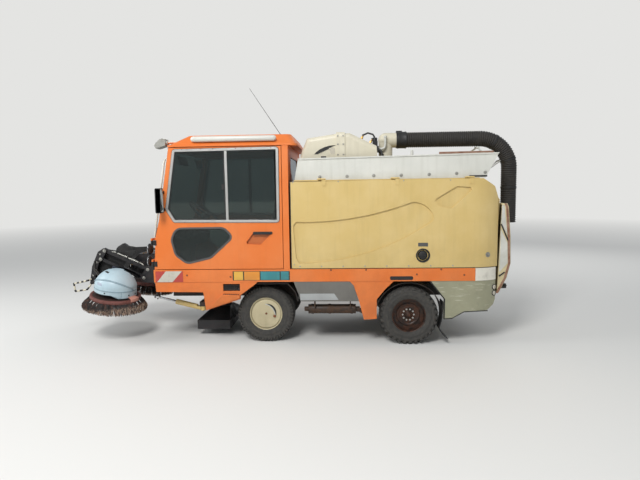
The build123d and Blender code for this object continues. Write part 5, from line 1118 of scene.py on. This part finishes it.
def belt_details():
    red, pale, dark, rivets = Form(), Form(), Form(), Form()
    for _, sign in SIDES:
        pane(red, box(-1316, -1040, 634, 742), sign)
        pane(pale, [(-1302, 634), (-1147, 634), (-1050, 742), (-1212, 742)], sign, proud=1.9)
        # the slot is a black sheet on the belt's face: painted shade of its opening
        pane(dark, soften(box(991, 1213, 643, 680), 14, 4), sign, proud=0.8)
        for x, z in ((1248, 698), (-567, 683), (-1000, 700), (420, 745), (760, 745), (1480, 745),
                     (1700, 690)):
            nut(rivets, (x, sign * (BODY_HALF - 1), z), (0, sign, 0), 9, 4, sides=14)
    fit("hazard_field_red", red, "root", "film_red")
    fit("hazard_field_pale", pale, "root", "film_white")
    fit("belt_slot_shade", dark, "root", "gasket")
    fit("belt_rivets", rivets, "root", "rust", smooth=50)
    base = pane(Form(), soften(box(-545, 18, 647, 738), 4, 2), -1, proud=0.6)
    fit("sticker_base", base, "root", "film_black")
    for name, spans, finish, slot in (("yellow", ((-533, -443),), "film_yellow", "cream_panel"),
                                      ("amber", ((-431, -279),), "film_amber", "orange_paint"),
                                      ("teal", ((-269, -81), (-71, 7)), "film_teal", "grey_panel")):
        field = Form()
        for low, high in spans:
            pane(field, box(low, high, *STICKER), -1, proud=1.3)
        fit(f"sticker_{name}", field, "root", finish)


def cab_steps():
    """Step ledge that tapers down into each lower cab panel, its ribbed pad and the vent's mesh."""
    wedge, pads, mesh = Form(), Form(), Form()
    for _, sign in SIDES:
        near = [(-653, 512), (-478, 504), (-480, 470), (-812, 356)]
        reach = (674, 674, 662, 648)
        wedge.rings([[(x, sign * 640, z) for x, z in near],
                     [(x, sign * y, z) for (x, z), y in zip(near, reach)]])
        for k in range(9):
            x = -640 + 18 * k
            pads.block((x, sign * 640, 511 - k * 0.8), (x + 9, sign * 673, 516 - k * 0.8))
        for k in range(8):
            x = -640 + 21.5 * k
            mesh.bar([(x, sign * 628, 538), (x, sign * 628, 614)], 3, sides=6)
        for z in (556, 575, 594):
            mesh.bar([(-648, sign * 631, z), (-476, sign * 631, z)], 3, sides=6)
    fit("step_ledges", wedge, "root", "orange", bevel=4.0, segments=3)
    fit("step_pads", pads, "root", "gasket", bevel=1.0)
    fit("step_vent_mesh", mesh, "root", "black_steel", smooth=60)


MUFFLER_Y = -556
MUFFLER_Z = 340
REAR_WHEEL_X = 1176
COVER_SKIN = 645


def lower_details():
    """Paler patch on the side covers, exhaust clamps, arch liners, mud flaps and bumper edges."""
    patch, strips, flaps, liners, clamps = Form(), Form(), Form(), Form(), Form()
    for _, sign in SIDES:
        pane(patch, [(113, 511), (449, 512), (492, 448), (118, 446)], sign, y=COVER_SKIN)
        edge = [(1368, 632), (1510, 451), (1507, 258)]
        strips.side_plate(edge + [(1519, 256), (1522, 454), (1383, 632)], sign * 640, sign * 648.5)
        strips.side_plate([(1510, 262), (1592, 268), (1704, 332), (1931, 342), (1931, 334), (1704, 322),
                           (1590, 258), (1510, 252)], sign * 640, sign * 647)
        profile = [(1500, 420), (1496, 330), (1488, 240), (1464, 160), (1500, 100), (1548, 52)]
        flaps.side_plate(profile + [(x + 9, z + 4) for x, z in reversed(profile)], sign * 482, sign * 638)
        arc = [(math.cos(math.radians(a)), math.sin(math.radians(a))) for a in range(-4, 185, 6)]
        liners.side_plate([(REAR_WHEEL_X + 328 * c, AXLE_Z + 328 * s) for c, s in arc]
                          + [(REAR_WHEEL_X + 323 * c, AXLE_Z + 323 * s) for c, s in reversed(arc)],
                          sign * 455, sign * 624)
        well = [(-600, 420), (-566, 540), (-484, 610), (-4, 610), (70, 524), (92, 430)]
        liners.side_plate(well + [(x * 0.985 - 3, z - 6) for x, z in reversed(well)], sign * 300, sign * 624)
    for x in (230, 400, 620):
        clamps.turned([(46, -12), (50, -12), (50, 12), (46, 12)], (x, MUFFLER_Y, MUFFLER_Z), (1, 0, 0),
                      steps=36)
    for x in (192, 658):
        clamps.turned([(0.01, -3), (46, -3), (48, 0), (46, 3), (0.01, 3)], (x, MUFFLER_Y, MUFFLER_Z),
                      (1, 0, 0), steps=36)
    clamps.bar([(655, MUFFLER_Y, 332), (700, MUFFLER_Y, 328), (748, -560, 300), (770, -566, 262)], 22,
               sides=18)
    fit("cover_patch", patch, "root", "patch")
    fit("bumper_edges", strips, "root", "gasket", bevel=1.5)
    fit("mud_flaps", flaps, "root", "gasket", bevel=1.5, smooth=50)
    fit("arch_liners", liners, "root", "chassis", smooth=50)
    fit("exhaust_clamps", clamps, "root", "exhaust", smooth=50)
    bowls, lenses, backs = Form(), Form(), Form()
    for _, sign in SIDES:
        out = Vector((0.545, sign * 0.8385, 0))
        for z in (559, 500):
            at = Vector((2003, sign * 580.4, z))
            bowls.turned([(21, -4), (27, -4), (27, 4), (25, 6), (21, 5)], at, out, steps=32)
            lenses.turned([(0.01, -2), (22, -2), (22, 4), (14, 8), (0.01, 9)], at, out, steps=28)
        for y, z in ((520, 590), (460, 590), (520, 505)):
            bowls.turned([(25, -6), (31, -6), (31, 0), (29, 2), (25, 1)], (2016, sign * y, z), (1, 0, 0),
                         steps=32)
            backs.turned([(0.01, -6), (26, -6), (26, 0), (16, 1.6), (0.01, 2)], (2016, sign * y, z),
                         (1, 0, 0), steps=28)
    fit("bumper_lamp_rims", bowls, "root", "gasket", smooth=50)
    fit("bumper_side_lamps", lenses, "root", "pearl", smooth=50)
    fit("bumper_rear_lamps", backs, "root", "red", smooth=50)


# Body: panel furniture on the lifting side panels, the fairing and the fan housing
FILLER = (1306, 881)
LOCK_AT = (1926, 624, 881)
LOCK_OUT = (0.352, 0.936)          # the rounded rear corner faces this way


def cladding_details(side, sign):
    body = f"cladding_{side}"
    dark, zinc, plate = Form(), Form(), Form()
    out = (0, sign, 0)
    filler_at = (FILLER[0], sign * BODY_HALF, FILLER[1])
    dark.turned([(53, -22), (63, -2), (68, 0), (68, 4), (60, 6), (56, 0)], filler_at, out, steps=48)
    dark.turned([(0.01, -8), (36, -8), (42, -12), (46, -22), (0.01, -22)], filler_at, out, steps=40)
    dark.block((1276, sign * (BODY_HALF - 12), 873), (1336, sign * (BODY_HALF - 2), 889))
    fit(f"filler_{side}", dark, body, "gasket", bevel=1.0, smooth=50)
    corner = Vector((LOCK_OUT[0], sign * LOCK_OUT[1], 0))
    at = Vector((LOCK_AT[0], sign * LOCK_AT[1], LOCK_AT[2]))
    zinc.turned([(0.01, 3), (15, 3), (18, 5), (24, 4), (26, 0), (26, -4), (0.01, -4)], at, corner, steps=32)
    zinc.bar([at + corner * 3 + Vector((-8, 0, 5)), at + corner * 6 + Vector((8, 0, -5))], 3)
    for x in range(120, 1800, 210):
        nut(zinc, (x, sign * (BODY_HALF - 0.5), 781), out, 7, 3, sides=12)
    for x, z in ((64, 1595), (64, 800), (500, 1598), (1120, 1598), (1560, 1598)):
        nut(zinc, (x, sign * (BODY_HALF - 0.5), z), out, 6, 2.6, sides=12)
    fit(f"cladding_screws_{side}", zinc, body, "zinc", smooth=50)
    if side == "left":
        pane(plate, soften(box(1259, 1353, 968, 1004), 4, 2), sign)
        fit("cladding_plate", plate, body, "trim")
    # black rubber strips along the panel's front and lower edges, darkened to paint the shade at those edges
    seal = Form()
    seal.side_plate([(34, 764), (40, 764), (40, 1616), (34, 1616)], sign * 622, sign * 652)
    seal.side_plate(box(60, 1800, 757, 764), sign * 624, sign * 646)
    fit(f"cladding_seal_{side}", seal, body, "gasket")


FAIRING_BOLTS = [(323, 1645), (584, 1647), (840, 1650), (1101, 1650), (1365, 1654), (1623, 1659),
                 (1891, 1665)]


def fairing_details():
    bolts, dark, strip, post = Form(), Form(), Form(), Form()
    for _, sign in SIDES:
        for x, z in FAIRING_BOLTS:
            nut(bolts, (x, sign * 609.5, z), (0, sign, 0), 16, 2.5, sides=24)
            nut(bolts, (x, sign * 612, z), (0, sign, 0), 9, 6)
        dark.side_plate(box(1742, 1911, 1625, 1640), sign * 606, sign * 613)
        dark.block((336, sign * 590, 1826), (386, sign * 612, 1842))
        strip.side_plate([(1469, 1845), (1983, 1850), (1983, 1872), (1469, 1868)], sign * 540, sign * 556)
    post.bar([(1227, -420, 1617), (1227, -420, 1880), (1227, -420, 1898)], [14, 14, 9], sides=16)
    post.turned([(0.01, 0), (32, 0), (30, 8), (0.01, 8)], (1227, -420, 1617), (0, 0, 1), steps=28)
    fit("fairing_bolts", bolts, "hopper", "zinc", bevel=0.6)
    fit("fairing_stops", dark, "hopper", "gasket", bevel=1.5)
    fit("fairing_strips", strip, "hopper", "rust_pale", bevel=1.5)
    fit("roof_post", post, "hopper", "white", smooth=50)


FAN_FACE = -520.0


def fan_details():
    """Dark crescent painted as the shadow under the intake's curved vent, with its lip, the window and the
    strap's bolts of the fan housing, and the valves and pipes behind it.
    """
    intake_shade, lip, pane_form = Form(), Form(), Form()
    crescent = [(267, 1867), (290, 1892), (323, 1915), (366, 1934), (416, 1948), (480, 1953), (440, 1934),
                (400, 1911), (345, 1886), (299, 1867)]
    # the intake is a dark crescent sheet: painted shadow under the curved vent
    intake_shade.side_plate(crescent, FAN_FACE + 1, FAN_FACE - 1.2)
    edges = ((4, FAN_FACE + 1), (4, FAN_FACE - 3), (0, FAN_FACE - 3), (0, FAN_FACE + 1))
    lip.rings([[(x, y, z) for x, z in offset_outline(crescent, grow)] for grow, y in edges], joined=True)
    pane_form.side_plate(soften([(408, 1927), (470, 1926), (470, 1864), (431, 1866)], 6, 2), FAN_FACE + 1,
                         FAN_FACE - 1.6)
    fit("fan_vent_shadow", intake_shade, "hopper", "gasket")
    fit("fan_slit_lip", lip, "hopper", "fan", bevel=1.0)
    fit("fan_window", pane_form, "hopper", "pearl")
    bolts = Form()
    for z in (1660, 1760, 1860, 1960, 2040):
        for x in (498, 550):
            nut(bolts, (x, FAN_FACE - 12, z), (0, -1, 0), 8, 6)
    for x in (160, 260, 700, 800):
        nut(bolts, (x, FAN_FACE, 1640), (0, -1, 0), 9, 6)
    fit("fan_bolts", bolts, "hopper", "zinc", bevel=0.6)
    brass, black, pale = Form(), Form(), Form()
    out = Vector((0.437, 0, 0.9))
    for x, z in ((726, 2013), (814, 1970)):
        nut(brass, (x, -300, z), out, 20, 18)
        nut(brass, (x + 8, -300, z + 16), out, 13, 22)
        brass.bar([(x + 16, -300, z + 32), (x + 30, -300, z + 50)], [7, 7], sides=12)
    black.block((838, -350, 1890), (905, -260, 1950))
    black.block((846, -338, 1950), (896, -276, 2002))
    black.turned([(0.01, 0), (26, 0), (26, 30), (20, 36), (0.01, 36)], (868, -306, 2002), (0, 0, 1), steps=24)
    black.bar([(742, -300, 2062), (800, -300, 2086), (850, -304, 2070), (868, -306, 2040)], 9, sides=12)
    black.bar([(838, -300, 2026), (858, -284, 2036), (884, -270, 2000), (892, -262, 1940)], 8, sides=12)
    black.bar([(900, -330, 1925), (930, -350, 1900), (938, -360, 1800), (930, -360, 1617)], 11, sides=12)
    black.bar([(900, -290, 1905), (950, -280, 1870), (962, -280, 1760), (958, -280, 1617)], 11, sides=12)
    pale.bar([(894, -300, 1927), (944, -300, 1926), (966, -300, 1936), (974, -300, 1960), (974, -300, 2053)],
             [12, 12, 12, 12, 12], sides=16)
    pale.turned([(0.01, 0), (17, 0), (17, 14), (0.01, 14)], (974, -300, 2040), (0, 0, 1), steps=24)
    fit("fan_unions", brass, "hopper", "brass", bevel=0.8)
    fit("fan_valves", black, "hopper", "plastic", bevel=2.0, smooth=50)
    fit("fan_drain_pipe", pale, "hopper", "white", smooth=60)


def hose_details():
    cuff, straps, stay = Form(), Form(), Form()
    cuff.turned([(79, -45), (85, -45), (87, -38), (84, -30), (84, 30), (87, 38), (85, 45), (79, 45)],
                (1150, HOSE_Y, HOSE_Z), (1, 0, 0), steps=48)
    fit("hose_cuff", cuff, "hopper", "gasket", smooth=50)
    for angle in (16, 62):
        turn = math.radians(angle)
        at = (HOSE_X - HOSE_BEND * (1 - math.cos(turn)), HOSE_Y, HOSE_Z - HOSE_BEND * (1 - math.sin(turn)))
        straps.turned([(77, -9), (79.8, -9), (79.8, 9), (77, 9)], at, (-math.sin(turn), 0, math.cos(turn)),
                      steps=44)
    straps.turned([(77, -9), (79.8, -9), (79.8, 9), (77, 9)], (HOSE_X, HOSE_Y, 1522), (0, 0, 1), steps=44)
    fit("hose_straps", straps, "hopper", "plastic", smooth=40)
    for y in (HOSE_Y - 60, HOSE_Y + 60):
        stay.bar([(2132, y, 1790), (2118, y, 1776), (1930, y, 1642), (1890, y, 1617)], 6)
    stay.bar([(2132, HOSE_Y - 60, 1790), (2138, HOSE_Y, 1796), (2132, HOSE_Y + 60, 1790)], 8)
    fit("hose_stay", stay, "hopper", "zinc", smooth=50)


GATE_BACK = [(2046, 493), (2120, 640), (2159, 785), (2150, 1050), (2128, 1330), (2112, 1368)]


def gate_details():
    """Rusty edge bars, stiffening ribs and latch rod with its end blocks on the tailgate."""
    bars, plates, ribs, dark = Form(), Form(), Form(), Form()
    for _, sign in SIDES:
        inner = [(x - 20, z) for x, z in GATE_BACK]
        bars.side_plate(GATE_BACK + inner[::-1], sign * 552, sign * 568)
        plates.side_plate([(2072, 1350), (2094, 1350), (2128, 1060), (2066, 1180)], sign * 558, sign * 562.5)
        plates.side_plate([(2064, 1120), (2130, 985), (2136, 790), (2056, 700)], sign * 558, sign * 562.5)
        dark.bar([(2066, sign * 563, 1170), (2134, sign * 563, 1010)], 7, sides=8)
        dark.bar([(2052, sign * 563, 660), (2108, sign * 563, 700)], 7, sides=8)
    for y in (-540, -400, 0, 200, 380, 540):
        back = [(x + 1, z) for x, z in GATE_BACK]
        front = [(x - 6, z) for x, z in GATE_BACK]
        ribs.side_plate([(min(x + 11, 2168), z) for x, z in back] + front[::-1], y - 9, y + 9)
    for z, x in ((1300, 2130), (1000, 2152), (700, 2136)):
        for low, high in ((-548, -310), (-90, 548)):
            ribs.block((x - 8, low, z - 12), (x + 9, high, z + 12))
    dark.bar([(2140, -470, 560), (2150, -470, 548), (2150, 470, 548), (2140, 470, 560)], 11, sides=14)
    for y in (-430, 430):
        dark.block((2070, y - 26, 520), (2160, y + 26, 566))
    fit("gate_edge_bars", bars, "tailgate", "rust_pale", bevel=1.5)
    fit("gate_side_plates", plates, "tailgate", "white", bevel=1.0)
    fit("gate_ribs", ribs, "tailgate", "gate", bevel=2.0)
    fit("gate_latch", dark, "tailgate", "black_steel", bevel=2.0, smooth=50)


# Cab inside: lining, instruments, levers, pedals and seats
SEAT_Y = 270.0
PUFF_FRAMES = 20                   # length of the cloth run


def cab_inside():
    lining, dials, faces, pale = Form(), Form(), Form(), Form()
    lining.side_plate(soften([(-1258, 1052), (-1180, 1085), (-1066, 1044), (-1044, 1060), (-1070, 1150),
                              (-1120, 1168), (-1236, 1120)], 14, 3), -450, -90)
    lining.side_plate(soften(box(-560, -120, 950, 1010), 14, 3), -32, 32)
    lining.side_plate(soften(box(-500, -160, 646, 952), 30, 3), -60, 60)
    for y in (-368, -270, -172):
        at, out = Vector((-1062, y, 1108)), Vector((0.96, 0, 0.28))
        dials.turned([(34, -4), (40, -4), (40, 6), (36, 8), (34, 4)], at, out, steps=32)
        faces.turned([(0.01, -2), (35, -2), (35, 2), (0.01, 3)], at, out, steps=28)
    for x, y, lean in ((-480, -12, -50), (-400, 14, -30), (-330, -10, -16)):
        lining.bar([(x, y, 1005), (x + lean * 0.6, y, 1085), (x + lean, y, 1128)], [6, 5, 5], sides=10)
        lining.bar([(x + lean, y, 1118), (x + lean * 1.1, y, 1150), (x + lean * 1.15, y, 1166)], [12, 17, 9],
                   sides=14)
    for y in (-350, -290, -190):
        lining.bar([(-1180, y, 690), (-1130, y, 730)], 7)
        lining.rings([[(x, y - 26, z), (x, y + 26, z), (x + 24, y + 26, z + 42), (x + 24, y - 26, z + 42)]
                      for x, z in ((-1136, 720), (-1128, 716))])
    visor = ((-1128, 1880), (-1118, 1884), (-1090, 1790), (-1100, 1786))
    for y in (-420, 160):
        pale.rings([[(x, y + dy, z) for x, z in visor] for dy in (0, 260)])
    fit("cab_controls", lining, "root", "interior", bevel=2.0, smooth=50)
    fit("dial_rims", dials, "root", "plastic", smooth=50)
    fit("dial_faces", faces, "root", "film_black")
    fit("sun_visors", pale, "root", "trim", bevel=3.0)
    belts = Form()
    for y in (-SEAT_Y, SEAT_Y):
        belts.block((-150, y - 238, 1082), (-112, y - 226, 1150))
        belts.block((-166, y - 244, 1146), (-124, y - 220, 1160))
    fit("belt_buckles", belts, "root", "plastic", bevel=3.0)


def pad(name, outline, half, cap):
    """Seat pad round an outline in X and Z: a skin puffed by a short cloth run, its rise capped in mm."""
    radii = [min(cap * 1.6, 40)] * len(outline)
    soft = soften(outline, radii, 5)
    inner = soften(offset_outline(outline, -16), [max(r - 10, 6) for r in radii], 5)
    layers = ((inner, -half), (soft, -half + 16), (soft, half - 16), (inner, half))
    form = Form().rings([[(x, y, z) for x, z in ring] for ring, y in layers])
    piece = fit(name, form, "root", "cloth", smooth=75)
    bpy.context.view_layer.objects.active = piece
    weld = piece.modifiers.new("even_skin", "REMESH")
    weld.mode = "VOXEL"
    weld.voxel_size = 10 * MM
    settle(piece)
    rest = [v.co.copy() for v in piece.data.vertices]
    cloth = piece.modifiers.new("padding", "CLOTH")
    cloth.settings.use_pressure = True
    cloth.settings.uniform_pressure_force = 4
    cloth.settings.effector_weights.gravity = 0
    cloth.point_cache.frame_start = 1
    cloth.point_cache.frame_end = PUFF_FRAMES
    scene = bpy.context.scene
    for step in range(1, PUFF_FRAMES + 1):
        scene.frame_set(step)
    settle(piece)
    scene.frame_set(1)
    for vertex, start in zip(piece.data.vertices, rest):
        move = vertex.co - start
        if move.length > cap * MM:
            vertex.co = start + move * (cap * MM / move.length)
    fine = piece.modifiers.new("smooth_cloth", "SUBSURF")
    fine.levels = 1
    fine.render_levels = 1
    settle(piece)
    for face in piece.data.polygons:
        face.use_smooth = True
    return piece


def settle(piece):
    """Make the piece's modifiers part of its mesh."""
    ready = piece.evaluated_get(bpy.context.evaluated_depsgraph_get())
    mesh = bpy.data.meshes.new_from_object(ready)
    old = piece.data
    piece.modifiers.clear()
    piece.data = mesh
    bpy.data.meshes.remove(old)


def seats():
    cushion = pad("seat_pad_left", box(-556, -94, 966, 1070), 224, 14)
    back = pad("seat_back_left", [(-204, 1088), (-106, 1088), (-28, 1552), (-102, 1552)], 209, 12)
    for piece in (cushion, back):
        twin = piece.copy()
        twin.name = piece.name.replace("left", "right")
        bpy.context.scene.collection.objects.link(twin)
        piece.location.y = -SEAT_Y * MM
        twin.location.y = SEAT_Y * MM
        for one in (piece, twin):
            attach(one, "root")
    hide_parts("seat_cushions")
    piping = Form()
    for y in (-SEAT_Y, SEAT_Y):
        piping.bar([(-562, y - 200, 1018), (-562, y + 200, 1018)], 5, sides=8)
        piping.bar([(-40, y - 200, 1566), (-30, y, 1574), (-40, y + 200, 1566)], 5, sides=8)
    fit("seat_piping", piping, "root", "plastic", smooth=60)


# Stage and light
def stage():
    material, tree, shader, _ = surface("pale_floor", "#D9D8D4", 0.9)
    floor = bpy.data.meshes.new("floor")
    reach = 60.0
    floor.from_pydata([(-reach, -reach, 0), (reach, -reach, 0), (reach, reach, 0), (-reach, reach, 0)], [],
                      [(0, 1, 2, 3)])
    place = add(tree, "ShaderNodeTexCoord").outputs["Object"]
    far = add(tree, "ShaderNodeVectorMath", {"operation": "LENGTH"}, {0: place})
    fade = add(tree, "ShaderNodeMapRange", {"From Min": 5.0, "From Max": 22.0},
               {"Value": far.outputs["Value"]})
    glow = add(tree, "ShaderNodeEmission", {"Color": linear("#E4E4E2"), "Strength": 1.0})
    mix = add(tree, "ShaderNodeMixShader", {}, {0: fade.outputs["Result"], 1: shader.outputs[0],
                                                2: glow.outputs[0]})
    tree.links.new(mix.outputs[0], tree.nodes["Material Output"].inputs["Surface"])
    floor.materials.append(material)
    piece = bpy.data.objects.new("floor", floor)
    bpy.context.scene.collection.objects.link(piece)
    world = bpy.data.worlds.new("studio")
    bpy.context.scene.world = world
    world.use_nodes = True
    tree = world.node_tree
    tree.nodes.clear()
    path = add(tree, "ShaderNodeLightPath")
    room = add(tree, "ShaderNodeBackground", {"Color": linear("#DDE2E8"), "Strength": 0.55})
    wall = add(tree, "ShaderNodeBackground", {"Color": linear("#E4E4E2"), "Strength": 1.0})
    mix = add(tree, "ShaderNodeMixShader", {},
              {0: path.outputs["Is Camera Ray"], 1: room.outputs[0], 2: wall.outputs[0]})
    out = add(tree, "ShaderNodeOutputWorld")
    tree.links.new(mix.outputs[0], out.inputs["Surface"])
    for name, place, target, size, power in (("key_lamp", (-1.5, -6.5, 6.5), (0.2, -0.5, 0.9), 2.5, 520),
                                             ("side_lamp", (-7.0, -1.5, 4.0), (-0.6, 0, 0.9), 3.0, 200),
                                             ("back_lamp", (4.5, 6.0, 5.0), (0.3, 0, 1.0), 5.0, 150)):
        lamp = bpy.data.lights.new(name, "AREA")
        lamp.size = size
        lamp.energy = power
        light = bpy.data.objects.new(name, lamp)
        light.location = place
        light.rotation_euler = (Vector(target) - Vector(place)).to_track_quat("-Z", "Y").to_euler()
        bpy.context.scene.collection.objects.link(light)


aim_camera()
bpy.context.scene.view_settings.view_transform = "Standard"
stage()
finish_cad_nodes()
for label, x, sign, face, depth, body in WHEELS:
    tyre(label, x, sign, face, body)
    wheel_face(label, x, sign, face, depth, body)
for side, sign in SIDES:
    side_brush(side, sign)
    hood_details(side, sign)
    head_details(side, sign)
    link_details(side, sign)
    cab_windows(side, sign)
    door_details(side, sign)
    cladding_details(side, sign)
carrier_details()
front_trim()
cab_fittings()
belt_details()
cab_steps()
lower_details()
fairing_details()
fan_details()
suction_hose()
hose_details()
gate_details()
cab_inside()
seats()
